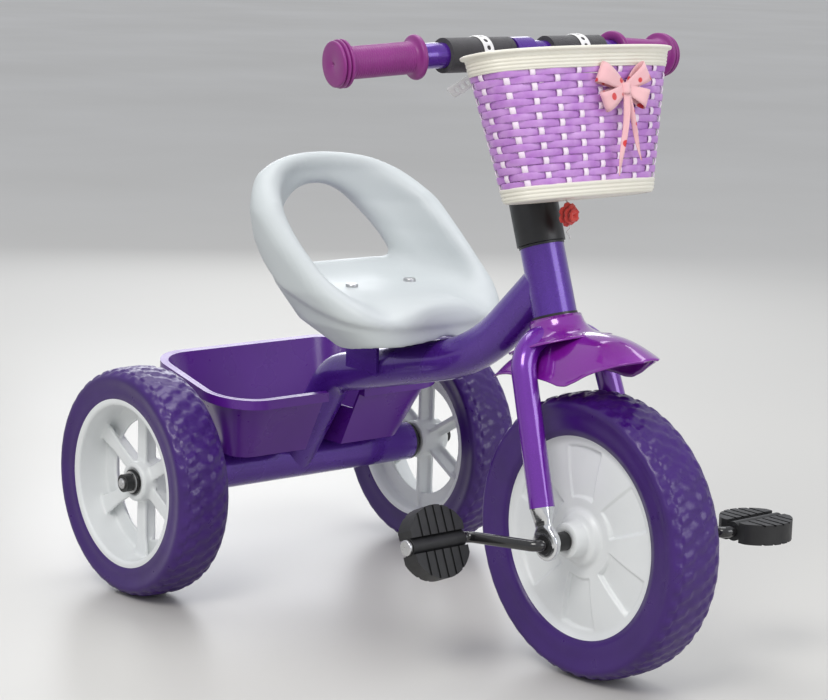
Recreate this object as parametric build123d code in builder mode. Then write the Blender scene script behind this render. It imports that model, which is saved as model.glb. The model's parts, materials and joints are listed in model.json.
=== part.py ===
from build123d import *
import os
from math import cos, radians, sin

os.makedirs("parts", exist_ok=True)

# A child's pedal tricycle, in millimetres. +X is forward, +Y is the rider's left, +Z is up.
# The origin lies on the ground, midway between the back of the rear tyres and the front of the front tyre.

# ---------------------------------------------------------------- driving dimensions
wheelbase = 435.5
rear_track = 357.0
rake = 19.0
front_tyre_radius = 125.0
front_tyre_width = 58.0
front_rim_radius = 91.0
rear_tyre_radius = 109.5
rear_tyre_width = 56.0
rear_rim_radius = 79.0

running_clearance = 0.05
side_gap = 0.5

# rear axle
axle_rod_radius = 5.0
axle_tube_radius = 19.6
axle_tube_wall = 1.8
rear_hub_radius = 17.0
rear_hub_length = 34.0
rear_hub_inset = 6.0
wheel_bush_radius = 9.0
wheel_bush_length = 12.0
bush_flange = 1.5
axle_washer = 1.6
axle_nut_radius = 8.5
axle_nut_length = 8.0
axle_stud_length = 2.5
spoke_count = 6
spoke_width = 15.0
spoke_depth = 14.0

# head and fork
steerer_radius = 12.5
steerer_wall = 2.0
head_tube_radius = 19.5
head_tube_length = 61.0
head_tube_wall = 2.5
head_tube_start = 194.0
head_flange = 2.0
head_flange_gap = 0.4
crown_radius = 22.5
crown_height = 22.0
fork_leg_radius = 11.0
fork_leg_wall = 1.5
fork_spread_low = 56.5
fork_spread_high = 46.5
fork_leg_start = 31.0
fork_shoulder = 168.0
fork_shoulder_radius = 32.0
crown_leg_height = 177.5
dropout_radius = 13.0
dropout_thickness = 6.0
dropout_neck = 13.0
front_bush_radius = 7.4
front_bush_collar = 8.2

# front wheel and cranks
front_hub_radius = 21.0
front_hub_half_length = 37.5
crank_radius = 5.0
crank_length = 68.0
crank_lean = 3.0
crank_elbow = 71.0
crank_pin_start = 88.0
crank_bend = 9.0
pedal_radius = 32.0
pedal_thickness = 18.0
pedal_barrel = 8.5
pedal_inner = 98.0
pedal_length = 58.0
pedal_cap_length = 3.0
right_pedal_tilt = 67.0
left_pedal_tilt = 0.0

# fender
fender_radius = 175.0
fender_half_width = 39.0
fender_drop = 49.0
fender_sheet = 2.0
fender_back = 26.0
fender_front = 37.0

# main beam
beam_radius = 19.0
beam_wall = 1.8
beam_knee = (50.0, 256.7)
beam_knee_radius = 190.0
beam_elbow_ahead = 66.5
beam_elbow_z = 206.5
beam_elbow_radius = 45.0
beam_joint_share = 1.67

# stem and handlebar
sleeve_radius = 21.5
sleeve_length = 50.0
stem_radius = 12.5
stem_bend_start = 335.0
bar_reach = 16.8
bar_height = 423.6
bar_radius = 11.0
bar_clamp_radius = 14.5
bar_clamp_length = 22.0
bar_straight = 100.0
bar_half_width = 191.0
bar_sweep_back = 13.3
bar_sweep_down = 6.0
grip_radius = 14.5
grip_flange_radius = 19.5
grip_length = 79.0
grip_cap = 3.0
foam_radius = 15.0
right_foam = (-87.0, -14.0)
left_foam = (31.0, 95.0)

# basket
basket_pitch = 12.0
basket_half_width = 110.0
basket_half_depth = 41.0
basket_base_half_width = 77.0
basket_base_half_depth = 31.0
basket_height = 125.0
basket_wall = 2.5
basket_floor = 3.0
basket_rim_depth = 15.0
basket_base_depth = 11.0
basket_lip = 4.0
basket_corner_share = 0.88
basket_base_shift = -5.0
basket_gap = 1.0
basket_rim_rise = 5.6
basket_lip_height = 4.0
bow_side = 28.0
bow_drop = 46.0
bow_half_width = 28.0
bow_half_height = 17.0
bow_tail = 62.0
bow_thickness = 9.0
rosette_radius = 10.0
rosette_length = 26.0
rosette_setback = 16.0
right_strap = -47.0
left_strap = 68.0
strap_width = 11.0
strap_thickness = 1.6

# seat
seat_pan_height = 298.0
seat_pan_x = -93.0
seat_half_width = 104.0
seat_front_half = 88.0
seat_base_half = 72.0
seat_back_x = -204.0
seat_bolt_offset = 35.0
seat_bolt_radius = 3.0
seat_wall = 5.0
bracket_plate = 3.0
bracket_length = 52.0
bracket_width = 92.0

# rear crate
crate_floor_z = 130.0
crate_rim_z = 193.0
crate_rim_tilt = 7.0
crate_front_ahead = 81.5
crate_length = 161.0
crate_front_half = 138.0
crate_back_half = 113.0
crate_floor_ahead = 49.5
crate_floor_length = 100.0
crate_floor_front_half = 104.0
crate_floor_back_half = 86.0
crate_wall = 2.5
crate_lip = 4.5
crate_lip_depth = 9.0
crate_slot_clearance = 3.0
crate_channel_drop = 24.0
crate_screw_offset = 62.0

# ---------------------------------------------------------------- derived places
front_axle_x = wheelbase / 2 - (front_tyre_radius - rear_tyre_radius) / 2
rear_axle_x = front_axle_x - wheelbase
beam_elbow = (rear_axle_x + beam_elbow_ahead, beam_elbow_z)
crate_front_x = rear_axle_x + crate_front_ahead
crate_floor_front_x = rear_axle_x + crate_floor_ahead
front_axle_z = front_tyre_radius
rear_axle_z = rear_tyre_radius
rear_wheel_y = rear_track / 2
rear_hub_y = rear_wheel_y - rear_hub_inset

steer_forward = Vector(cos(radians(rake)), 0, sin(radians(rake)))
steer_up = Vector(-sin(radians(rake)), 0, cos(radians(rake)))
front_axle = Vector(front_axle_x, 0, front_axle_z)
left = Vector(0, 1, 0)


def steer_point(forward, side, up):
    """A point given along the fork: forward of the steering axis, to the left, and up from the axle."""
    return front_axle + steer_forward * forward + left * side + steer_up * up


def across_steerer(up, forward=0.0, side=0.0):
    """A plane square to the steering axis."""
    return Plane(origin=steer_point(forward, side, up), x_dir=steer_forward, z_dir=steer_up)


def along_steerer(side=0.0):
    """A side-view plane: local x forward, local y up the steering axis."""
    return Plane(origin=steer_point(0, side, 0), x_dir=steer_forward, z_dir=-left)


def facing_steerer():
    """A front-view plane: local x to the left, local y up the steering axis."""
    return Plane(origin=front_axle, x_dir=left, z_dir=steer_forward)


def hub_plane(x, y, z):
    """A plane through a wheel's axis: local x along the axle to the left, local y outwards."""
    return Plane(origin=(x, y, z), x_dir=(0, 1, 0), z_dir=(1, 0, 0))


def axle_axis(x, z):
    return Axis((x, 0, z), (0, 1, 0))


def finish(part, label):
    """Names a finished piece and writes it to its own file."""
    part.label = label
    export_step(part, f"parts/{label}.step")
    return part


# ---------------------------------------------------------------- wheels
def make_tyre(label, x, y, radius, width, rim_radius):
    half = width / 2
    bead = half - 5.0
    shoulder = half - 8.0
    shoulder_radius = radius - 5.0
    middle = (rim_radius + radius) / 2
    with BuildPart() as tyre:
        with BuildSketch(hub_plane(x, y, radius)):
            with BuildLine():
                Line((-bead, rim_radius), (bead, rim_radius))
                ThreePointArc((bead, rim_radius), (half, middle), (shoulder, shoulder_radius))
                ThreePointArc((shoulder, shoulder_radius), (0, radius), (-shoulder, shoulder_radius))
                ThreePointArc((-shoulder, shoulder_radius), (-half, middle), (-bead, rim_radius))
            make_face()
        revolve(axis=axle_axis(x, radius))
    return finish(tyre.part, label)


def make_rear_wheel(side, label):
    """A spoked wheel: a barrel with an outer lip, six bars and a hub bored for two bushes."""
    plane = hub_plane(rear_axle_x, side * rear_wheel_y, rear_axle_z)
    barrel_half = rear_tyre_width / 2 - 5.0
    barrel_wall = 4.5
    barrel_inner = rear_rim_radius - barrel_wall
    spoke_reach = barrel_inner + 1.0
    with BuildPart() as wheel:
        with BuildSketch(plane):
            with Locations((0, (barrel_inner + rear_rim_radius) / 2)):
                Rectangle(2 * barrel_half, barrel_wall)
            with Locations((-side * rear_hub_inset, rear_hub_radius / 2)):
                Rectangle(rear_hub_length, rear_hub_radius)
        revolve(axis=axle_axis(rear_axle_x, rear_axle_z))
        spoke_start = (rear_axle_x, side * rear_hub_y - spoke_depth / 2, rear_axle_z)
        with BuildSketch(Plane(origin=spoke_start, x_dir=(1, 0, 0), z_dir=(0, 1, 0))):
            with PolarLocations(0, spoke_count, start_angle=90):
                with Locations((spoke_reach / 2, 0)):
                    Rectangle(spoke_reach, spoke_width)
        extrude(amount=spoke_depth)
        with BuildSketch(plane):
            with Locations((-side * rear_hub_inset, wheel_bush_radius / 2)):
                Rectangle(rear_hub_length, wheel_bush_radius)
        revolve(axis=axle_axis(rear_axle_x, rear_axle_z), mode=Mode.SUBTRACT)
    return finish(wheel.part, label)


def make_wheel_bushes(side, label):
    """Two flanged bushes pressed into a rear hub."""
    middle = side * rear_hub_y
    bore = axle_rod_radius + running_clearance
    plane = hub_plane(rear_axle_x, middle, rear_axle_z)
    end = rear_hub_length / 2
    with BuildPart() as bushes:
        with BuildSketch(plane):
            for way in (-1, 1):
                with Locations((way * (end - wheel_bush_length / 2), (bore + wheel_bush_radius) / 2)):
                    Rectangle(wheel_bush_length, wheel_bush_radius - bore)
                with Locations((way * (end + bush_flange / 2), (bore + wheel_bush_radius + 3) / 2)):
                    Rectangle(bush_flange, wheel_bush_radius + 3 - bore)
        revolve(axis=axle_axis(rear_axle_x, rear_axle_z))
    return finish(bushes.part, label)


for side, name in ((-1, "right"), (1, "left")):
    wheel_y = side * rear_wheel_y
    make_tyre(f"rear_tyre_{name}", rear_axle_x, wheel_y, rear_tyre_radius, rear_tyre_width, rear_rim_radius)
    make_rear_wheel(side, f"rear_wheel_{name}")
    make_wheel_bushes(side, f"rear_wheel_bushes_{name}")

make_tyre("front_tyre", front_axle_x, 0, front_tyre_radius, front_tyre_width, front_rim_radius)


def make_front_disc(side, label):
    """One half of the front wheel: a dished disc with shallow pockets, a rim ring and a hub boss."""
    barrel_half = front_tyre_width / 2 - 5.0
    disc_wall = 3.0
    ring_inner = front_rim_radius - 9.0
    dish_depth = 5.0
    boss = front_hub_radius
    plane = Plane(origin=front_axle, x_dir=(0, side, 0), z_dir=(side, 0, 0))
    pocket_count = 6
    pocket_inner = 30.0
    pocket_outer = 70.0
    pocket_depth = 1.6
    face = barrel_half - dish_depth
    with BuildPart() as disc:
        with BuildSketch(plane):
            with BuildLine():
                Polyline(
                    (0, crank_radius),
                    (front_hub_half_length, crank_radius),
                    (front_hub_half_length, boss - 4),
                    (face + 5, boss),
                    (face, boss + 6),
                    (face, ring_inner - 4),
                    (barrel_half, ring_inner + 2),
                    (barrel_half, front_rim_radius),
                    (0, front_rim_radius),
                    (0, front_rim_radius - disc_wall),
                    (barrel_half - disc_wall, front_rim_radius - disc_wall),
                    (face - disc_wall, ring_inner - 4),
                    (face - disc_wall, boss),
                    (disc_wall, boss - 4),
                    (0, boss - 4),
                    close=True,
                )
            make_face()
        revolve(axis=axle_axis(front_axle_x, front_axle_z))
        pocket_start = (front_axle_x, side * (face + dish_depth), front_axle_z)
        with BuildSketch(Plane(origin=pocket_start, x_dir=(1, 0, 0), z_dir=(0, side, 0))):
            with PolarLocations(0, pocket_count):
                with Locations(((pocket_inner + pocket_outer) / 2, 0)):
                    Trapezoid(34, pocket_outer - pocket_inner, 76, rotation=90)
        extrude(amount=-(dish_depth + pocket_depth), mode=Mode.SUBTRACT)
    return finish(disc.part, label)


make_front_disc(-1, "front_disc_right")
make_front_disc(1, "front_disc_left")

# ---------------------------------------------------------------- cranks and pedals
crank_forward = crank_length * cos(radians(crank_lean))
crank_rise = crank_length * sin(radians(crank_lean))
crank_end = pedal_inner + pedal_length + side_gap

with BuildPart() as crank:
    with BuildLine() as crank_path:
        FilletPolyline(
            (front_axle_x - crank_forward, -crank_end, front_axle_z - crank_rise),
            (front_axle_x - crank_forward, -crank_pin_start, front_axle_z - crank_rise),
            (front_axle_x, -crank_elbow, front_axle_z),
            (front_axle_x, crank_elbow, front_axle_z),
            (front_axle_x + crank_forward, crank_pin_start, front_axle_z + crank_rise),
            (front_axle_x + crank_forward, crank_end, front_axle_z + crank_rise),
            radius=crank_bend,
        )
    with BuildSketch(Plane(origin=crank_path.line @ 0, z_dir=crank_path.line % 0)):
        Circle(crank_radius)
    sweep()
finish(crank.part, "crank_axle")


def make_pedal(side, tilt, label):
    """A round pedal: two ribbed D-shaped treads either side of a barrel that turns on the crank pin."""
    x = front_axle_x + side * crank_forward
    z = front_axle_z + side * crank_rise
    middle = side * (pedal_inner + pedal_length / 2)
    across = Vector(cos(radians(tilt)), 0, -sin(radians(tilt)))
    upwards = Vector(sin(radians(tilt)), 0, cos(radians(tilt)))
    tread = Plane(origin=(x, middle, z), x_dir=across, z_dir=upwards)
    end_plane = Plane(origin=(x, middle - pedal_length / 2, z), x_dir=(1, 0, 0), z_dir=(0, 1, 0))
    groove_step = 9.0
    groove_width = 2.4
    groove_depth = 1.5
    with BuildPart() as pedal:
        with BuildSketch(tread):
            Circle(pedal_radius)
            Rectangle(2 * (pedal_barrel - 1.5), 2 * pedal_radius, mode=Mode.SUBTRACT)
            Rectangle(2 * pedal_radius, pedal_length, mode=Mode.INTERSECT)
        extrude(amount=pedal_thickness / 2, both=True)
        for face_side in (-1, 1):
            with BuildSketch(tread.offset(face_side * pedal_thickness / 2)):
                with GridLocations(0, groove_step, 1, 5):
                    Rectangle(2 * pedal_radius, groove_width)
            extrude(amount=groove_depth, both=True, mode=Mode.SUBTRACT)
        with BuildSketch(end_plane):
            Circle(pedal_barrel)
        extrude(amount=pedal_length)
        with BuildSketch(end_plane):
            Circle(crank_radius + running_clearance)
        extrude(amount=pedal_length, mode=Mode.SUBTRACT)
    return finish(pedal.part, label)


def make_pedal_cap(side, label):
    """The push-on cap that keeps a pedal on its pin."""
    x = front_axle_x + side * crank_forward
    z = front_axle_z + side * crank_rise
    plane = Plane(origin=(x, side * crank_end, z), x_dir=(1, 0, 0), z_dir=(0, side, 0))
    with BuildPart() as cap:
        with BuildSketch(plane):
            Circle(crank_radius + 2)
        extrude(amount=pedal_cap_length)
        fillet(cap.edges().filter_by(GeomType.CIRCLE).sort_by(Axis.Y)[-1 if side > 0 else 0], 1.5)
    return finish(cap.part, label)


make_pedal(-1, right_pedal_tilt, "pedal_right")
make_pedal(1, left_pedal_tilt, "pedal_left")
make_pedal_cap(-1, "pedal_cap_right")
make_pedal_cap(1, "pedal_cap_left")

# ---------------------------------------------------------------- fork
leg_top = (crown_radius - 8, crown_leg_height)


def fork_leg_solid(side, radius):
    """A fork leg's path, filled to the given radius: straight up from the dropout, then in to the crown."""
    with BuildPart() as leg:
        with BuildLine(facing_steerer()) as leg_path:
            FilletPolyline(
                (side * fork_spread_low, fork_leg_start),
                (side * fork_spread_high, fork_shoulder),
                (side * leg_top[0], leg_top[1]),
                radius=fork_shoulder_radius,
            )
        with BuildSketch(Plane(origin=leg_path.line @ 0, z_dir=leg_path.line % 0)):
            Circle(radius)
        sweep()
    return leg.part


def crown_blank(radius):
    with BuildPart() as blank:
        with BuildSketch(across_steerer(head_tube_start - head_flange - head_flange_gap - crown_height)):
            Circle(radius)
        extrude(amount=crown_height)
    return blank.part


def make_fork_leg(side, label):
    with BuildPart() as leg:
        add(fork_leg_solid(side, fork_leg_radius))
        add(fork_leg_solid(side, fork_leg_radius - fork_leg_wall), mode=Mode.SUBTRACT)
        add(crown_blank(crown_radius), mode=Mode.SUBTRACT)
    return finish(leg.part, label)


def make_dropout(side, label):
    """The flattened, plated end of a fork leg, with an eye for the axle bush."""
    low = steer_point(0, side * fork_spread_low, fork_leg_start)
    neck_up = front_bush_collar + 1.0
    eye_middle = fork_spread_low + 2.0
    plug_length = 20.0
    plug_direction = Vector(0, side * (fork_spread_high - fork_spread_low), fork_shoulder - fork_leg_start)
    plug_up = (left * plug_direction.Y + steer_up * plug_direction.Z).normalized()
    with BuildPart() as dropout:
        with BuildSketch(Plane(origin=low, z_dir=plug_up)):
            Circle(fork_leg_radius - 1)
        with BuildSketch(across_steerer(neck_up, side=side * eye_middle)):
            Ellipse(dropout_neck / 2, dropout_thickness / 2 + 0.4)
        loft()
        eye_plane = Plane(
            origin=steer_point(0, side * (eye_middle - dropout_thickness / 2), 0),
            x_dir=steer_forward,
            z_dir=left * side,
        )
        with BuildSketch(eye_plane):
            Circle(dropout_radius)
        extrude(amount=dropout_thickness)
        with BuildSketch(Plane(origin=low, z_dir=plug_up)):
            Circle(fork_leg_radius - fork_leg_wall)
        extrude(amount=plug_length)
        with BuildSketch(eye_plane):
            Circle(front_bush_radius)
        extrude(amount=dropout_thickness, mode=Mode.SUBTRACT)
    return finish(dropout.part, label)


def make_front_bush(side, label):
    """The plastic bush in a dropout's eye, with a long collar that spaces the wheel."""
    eye_middle = fork_spread_low + 2.0
    inner_face = eye_middle - dropout_thickness / 2
    outer_face = eye_middle + dropout_thickness / 2
    bore = crank_radius + running_clearance
    start = front_hub_half_length + side_gap
    plane = Plane(origin=front_axle, x_dir=(0, side, 0), z_dir=(side, 0, 0))
    with BuildPart() as bush:
        with BuildSketch(plane):
            with Locations(((start + inner_face) / 2, (bore + front_bush_collar) / 2)):
                Rectangle(inner_face - start, front_bush_collar - bore)
            with Locations((eye_middle, (bore + front_bush_radius) / 2)):
                Rectangle(dropout_thickness, front_bush_radius - bore)
            with Locations((outer_face + 0.75, (bore + front_bush_collar) / 2)):
                Rectangle(1.5, front_bush_collar - bore)
        revolve(axis=axle_axis(front_axle_x, front_axle_z))
    return finish(bush.part, label)


for side, name in ((-1, "right"), (1, "left")):
    make_fork_leg(side, f"fork_leg_{name}")
    make_dropout(side, f"dropout_{name}")
    make_front_bush(side, f"front_bush_{name}")

steerer_base = head_tube_start - head_flange - head_flange_gap - crown_height
head_tube_end = head_tube_start + head_tube_length
sleeve_start = head_tube_end + head_flange + head_flange_gap
steerer_top = sleeve_start + sleeve_length

with BuildPart() as fork_crown:
    add(crown_blank(crown_radius))
    with BuildSketch(across_steerer(steerer_base)):
        Circle(steerer_radius)
    extrude(amount=steerer_top - steerer_base)
    with BuildSketch(across_steerer(steerer_base)):
        Circle(steerer_radius - steerer_wall)
    extrude(amount=steerer_top - steerer_base, mode=Mode.SUBTRACT)
finish(fork_crown.part, "fork_crown")


# The fender is an arched strip bent round the wheel, trimmed to a visor and cleared for the fork.
fender_radial = steer_up * cos(radians(fender_back)) - steer_forward * sin(radians(fender_back))
fender_facing = steer_forward * cos(radians(fender_back)) + steer_up * sin(radians(fender_back))
fender_edge = [(-30, 172), (-18, 160), (-8, 148), (4, 141), (17, 131), (28, 148), (34, 162), (40, 172)]


def around_axle(degrees, radius):
    """A point in the side view, by its angle forward of the steering axis and its distance from the axle."""
    return radius * sin(radians(degrees)), radius * cos(radians(degrees))


with BuildPart() as fender:
    with BuildSketch(Plane(origin=front_axle, x_dir=left, z_dir=fender_facing)):
        with Locations((0, fender_radius - fender_drop)):
            Ellipse(fender_half_width, fender_drop)
            Ellipse(fender_half_width - fender_sheet, fender_drop - fender_sheet, mode=Mode.SUBTRACT)
        with Locations((0, fender_radius - 1.5 * fender_drop)):
            Rectangle(3 * fender_half_width, fender_drop, mode=Mode.SUBTRACT)
    revolve(axis=axle_axis(front_axle_x, front_axle_z), revolution_arc=fender_back + fender_front)
    with BuildSketch(along_steerer()):
        with BuildLine():
            edge_points = [around_axle(*place) for place in fender_edge]
            Spline(*edge_points)
            Polyline(edge_points[-1], (0, 0), edge_points[0])
        make_face()
    extrude(amount=2 * fender_half_width, both=True, mode=Mode.SUBTRACT)
    add(crown_blank(crown_radius), mode=Mode.SUBTRACT)
    for side in (-1, 1):
        add(fork_leg_solid(side, fork_leg_radius), mode=Mode.SUBTRACT)
finish(fender.part, "fender")

# ---------------------------------------------------------------- head tube and frame
head_tube_inner = head_tube_radius - head_tube_wall

with BuildPart() as head_tube:
    with BuildSketch(across_steerer(head_tube_start)):
        Circle(head_tube_radius)
        Circle(head_tube_inner, mode=Mode.SUBTRACT)
    extrude(amount=head_tube_length)
finish(head_tube.part, "head_tube")

head_bush_length = 14.0


def make_head_bush(mouth, outwards, label):
    """A flanged bush that lines one end of the head tube."""
    bore = steerer_radius + running_clearance
    with BuildPart() as bush:
        with BuildSketch(across_steerer(mouth)):
            Circle(head_tube_inner)
            Circle(bore, mode=Mode.SUBTRACT)
        extrude(amount=-outwards * head_bush_length)
        with BuildSketch(across_steerer(mouth)):
            Circle(head_tube_radius + 0.5)
            Circle(bore, mode=Mode.SUBTRACT)
        extrude(amount=outwards * head_flange)
    return finish(bush.part, label)


make_head_bush(head_tube_start, -1, "head_bush_lower")
make_head_bush(head_tube_end, 1, "head_bush_upper")

axle_tube_half = rear_hub_y - rear_hub_length / 2 - bush_flange - 8.0
rear_axle = Plane(origin=(rear_axle_x, 0, rear_axle_z), x_dir=(1, 0, 0), z_dir=(0, 1, 0))

with BuildPart() as axle_tube:
    with BuildSketch(rear_axle):
        Circle(axle_tube_radius)
        Circle(axle_tube_radius - axle_tube_wall, mode=Mode.SUBTRACT)
    extrude(amount=axle_tube_half, both=True)
finish(axle_tube.part, "rear_axle_tube")

with BuildPart() as axle_plugs:
    plug_length = 14.0
    plug_flange = 3.0
    collar_end = rear_hub_y - rear_hub_length / 2 - bush_flange - side_gap
    for side in (-1, 1):
        plane = Plane(origin=(rear_axle_x, 0, rear_axle_z), x_dir=(0, side, 0), z_dir=(side, 0, 0))
        with BuildSketch(plane):
            with BuildLine():
                Polyline(
                    (axle_tube_half - plug_length, axle_rod_radius),
                    (axle_tube_half - plug_length, axle_tube_radius - axle_tube_wall),
                    (axle_tube_half, axle_tube_radius - axle_tube_wall),
                    (axle_tube_half, axle_tube_radius),
                    (axle_tube_half + plug_flange, axle_tube_radius),
                    (axle_tube_half + plug_flange, wheel_bush_radius + 1),
                    (collar_end, wheel_bush_radius + 1),
                    (collar_end, axle_rod_radius),
                    close=True,
                )
            make_face()
    revolve(axis=axle_axis(rear_axle_x, rear_axle_z))
finish(axle_plugs.part, "rear_axle_plugs")

hub_outer = rear_hub_y + rear_hub_length / 2 + bush_flange
nut_start = hub_outer + side_gap + axle_washer
rod_half = nut_start + axle_nut_length + axle_stud_length

with BuildPart() as axle_rod:
    with BuildSketch(rear_axle):
        Circle(axle_rod_radius)
    extrude(amount=rod_half, both=True)
    chamfer(axle_rod.edges().filter_by(GeomType.CIRCLE), 1.2)
finish(axle_rod.part, "rear_axle_rod")


def make_axle_rings(start, length, radius, label):
    """A washer or a push nut on each end of the rear axle rod."""
    with BuildPart() as rings:
        for side in (-1, 1):
            with BuildSketch(Plane(origin=(rear_axle_x, side * start, rear_axle_z), z_dir=(0, side, 0))):
                Circle(radius)
                Circle(axle_rod_radius, mode=Mode.SUBTRACT)
            extrude(amount=length)
    return finish(rings.part, label)


make_axle_rings(hub_outer + side_gap, axle_washer, axle_nut_radius + 2, "rear_axle_washers")
make_axle_rings(nut_start, axle_nut_length, axle_nut_radius, "rear_axle_nuts")


def beam_point(place):
    return Vector(place[0], 0, place[1])


head_joint = steer_point(0, 0, head_tube_start + beam_joint_share * beam_radius)
beam_ends = ((head_joint.X, head_joint.Z), (rear_axle_x, rear_axle_z))


def beam_solid(radius):
    """The beam's route from the head tube, under the seat and down to the rear axle tube."""
    with BuildPart() as beam:
        with BuildLine(Plane.XZ) as beam_path:
            FilletPolyline(
                beam_ends[0],
                beam_knee,
                beam_elbow,
                beam_ends[1],
                radius=[beam_knee_radius, beam_elbow_radius],
            )
        with BuildSketch(Plane(origin=beam_path.line @ 0, z_dir=beam_path.line % 0)):
            Circle(radius)
        sweep()
    return beam.part


with BuildPart() as main_beam:
    add(beam_solid(beam_radius))
    add(beam_solid(beam_radius - beam_wall), mode=Mode.SUBTRACT)
    with BuildSketch(across_steerer(head_tube_start - 20)):
        Circle(head_tube_radius)
    extrude(amount=head_tube_length + 40, mode=Mode.SUBTRACT)
    with BuildSketch(rear_axle):
        Circle(axle_tube_radius)
    extrude(amount=axle_tube_half, both=True, mode=Mode.SUBTRACT)
finish(main_beam.part.solids().sort_by(SortBy.VOLUME)[-1], "main_beam")

# ---------------------------------------------------------------- seat
beam_top_at_seat = beam_knee[1] + (seat_pan_x - beam_knee[0]) * (beam_elbow[1] - beam_knee[1]) / (
    beam_elbow[0] - beam_knee[0]
)
web_thickness = 3.0
bracket_top = seat_pan_height - bracket_plate

with BuildPart() as seat_bracket:
    with BuildSketch(Plane((seat_pan_x, 0, bracket_top))):
        RectangleRounded(bracket_length, bracket_width, 8)
    extrude(amount=bracket_plate)
    for side in (-1, 1):
        web_start = (seat_pan_x, side * beam_radius, bracket_top)
        with BuildSketch(Plane(origin=web_start, x_dir=(1, 0, 0), z_dir=(0, side, 0))):
            with Locations((0, (bracket_top - beam_top_at_seat) / 2 * side)):
                Rectangle(bracket_length - 6, bracket_top - beam_top_at_seat)
        extrude(amount=web_thickness)
    with Locations(*[(seat_pan_x, side * seat_bolt_offset, seat_pan_height) for side in (-1, 1)]):
        Hole(seat_bolt_radius, depth=2 * bracket_plate)
finish(seat_bracket.part, "seat_bracket")


def seat_outline():
    """The seat in plan: a full round back, sides that narrow a little, and soft front corners."""
    front = 2.0
    widest = -140.0
    front_corner = 26.0
    back_corner = 62.0
    with BuildSketch(Plane.XY.offset(200)) as outline:
        with BuildLine():
            Polyline(
                (front, seat_front_half),
                (widest, seat_half_width),
                (seat_back_x, seat_half_width),
                (seat_back_x, -seat_half_width),
                (widest, -seat_half_width),
                (front, -seat_front_half),
                close=True,
            )
        make_face()
        fillet(outline.vertices().group_by(Axis.X)[0], back_corner)
        fillet(outline.vertices().group_by(Axis.X)[-1], front_corner)
    return outline.sketch


seat_shoulder_z = 335.0
seat_back_top = 423.0
window_width = 120.0
window_height = 64.0
seat_profile = [(0, 284), (-12, 300), (-62, 338), (-118, 376), (-160, 412), (-180, 421)]
seat_back_profile = [(-180, 421), (-201, 404), (-206, 375), (-194, 340), (-160, 296), (-122, 266)]
seat_bottom = [(-90, 257), (-16, 257), (0, 264)]
pan_top = seat_pan_height + seat_wall
rim_width = 13.0
underside_half = seat_base_half - 10.0

with BuildPart() as seat:
    with BuildSketch(Plane.XZ):
        with BuildLine():
            Spline(*seat_profile)
            Spline(*seat_back_profile)
            Polyline(seat_back_profile[-1], *seat_bottom, seat_profile[0])
        make_face()
    extrude(amount=seat_half_width + 5, both=True)
    extrude(seat_outline(), amount=260, mode=Mode.INTERSECT)
    with BuildSketch(Plane.YZ):
        with BuildLine():
            Polyline(
                (-seat_half_width, seat_shoulder_z),
                (-seat_base_half, 240),
                (seat_base_half, 240),
                (seat_half_width, seat_shoulder_z),
            )
            crown = seat_back_top - seat_shoulder_z
            EllipticalCenterArc((0, seat_shoulder_z), seat_half_width, crown, start_angle=0, arc_size=180)
        make_face()
    extrude(amount=300, both=True, mode=Mode.INTERSECT)
    with BuildSketch(Plane.XY.offset(pan_top)):
        with Locations((-62, 0)):
            Ellipse(92, seat_half_width - rim_width - 18)
    with BuildSketch(Plane.XY.offset(pan_top + 130)):
        with Locations((-92, 0)):
            Ellipse(seat_half_width + 10, seat_half_width - rim_width + 4)
    loft(mode=Mode.SUBTRACT)
    with BuildSketch(Plane.XY.offset(seat_pan_height)):
        with Locations((-70, 0)):
            Rectangle(112, 2 * underside_half)
    with BuildSketch(Plane.XY.offset(240)):
        with Locations((-64, 0)):
            Rectangle(114, 2 * underside_half)
    loft(mode=Mode.SUBTRACT)
    with BuildSketch(Plane.YZ.offset(-120)):
        with Locations((0, 355)):
            RectangleRounded(window_width, window_height, 28)
    extrude(amount=-100, mode=Mode.SUBTRACT)
    with Locations(*[(seat_pan_x, side * seat_bolt_offset, pan_top) for side in (-1, 1)]):
        Hole(seat_bolt_radius + 0.2, depth=2 * seat_wall)
    add(beam_solid(beam_radius + 2.5), mode=Mode.SUBTRACT)
finish(seat.part, "seat")


def make_seat_fasteners():
    """Two round-headed bolts through the pan and the bracket, and their nuts."""
    head_height = 3.0
    nut_height = 5.0
    reach = seat_wall + bracket_plate + nut_height + 2.0
    spots = [(seat_pan_x, -seat_bolt_offset), (seat_pan_x, seat_bolt_offset)]
    with BuildPart() as bolts:
        with BuildSketch(Plane.XY.offset(pan_top)):
            with Locations(*spots):
                Circle(2 * seat_bolt_radius)
        extrude(amount=head_height)
        fillet(bolts.edges().group_by(Axis.Z)[-1], 1.5)
        with BuildSketch(Plane.XY.offset(pan_top)):
            with Locations(*spots):
                Circle(seat_bolt_radius)
        extrude(amount=-reach)
    finish(bolts.part, "seat_bolts")
    with BuildPart() as nuts:
        with BuildSketch(Plane.XY.offset(bracket_top - nut_height)):
            with Locations(*spots):
                RegularPolygon(2 * seat_bolt_radius, 6)
                Circle(seat_bolt_radius, mode=Mode.SUBTRACT)
        extrude(amount=nut_height)
    finish(nuts.part, "seat_nuts")


make_seat_fasteners()

# ---------------------------------------------------------------- rear crate
crate_rim_plane = Plane(
    origin=(crate_front_x, 0, crate_rim_z),
    x_dir=(-cos(radians(crate_rim_tilt)), 0, sin(radians(crate_rim_tilt))),
    z_dir=(sin(radians(crate_rim_tilt)), 0, cos(radians(crate_rim_tilt))),
)
crate_floor_plane = Plane(origin=(crate_floor_front_x, 0, crate_floor_z), x_dir=(-1, 0, 0), z_dir=(0, 0, 1))


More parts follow.
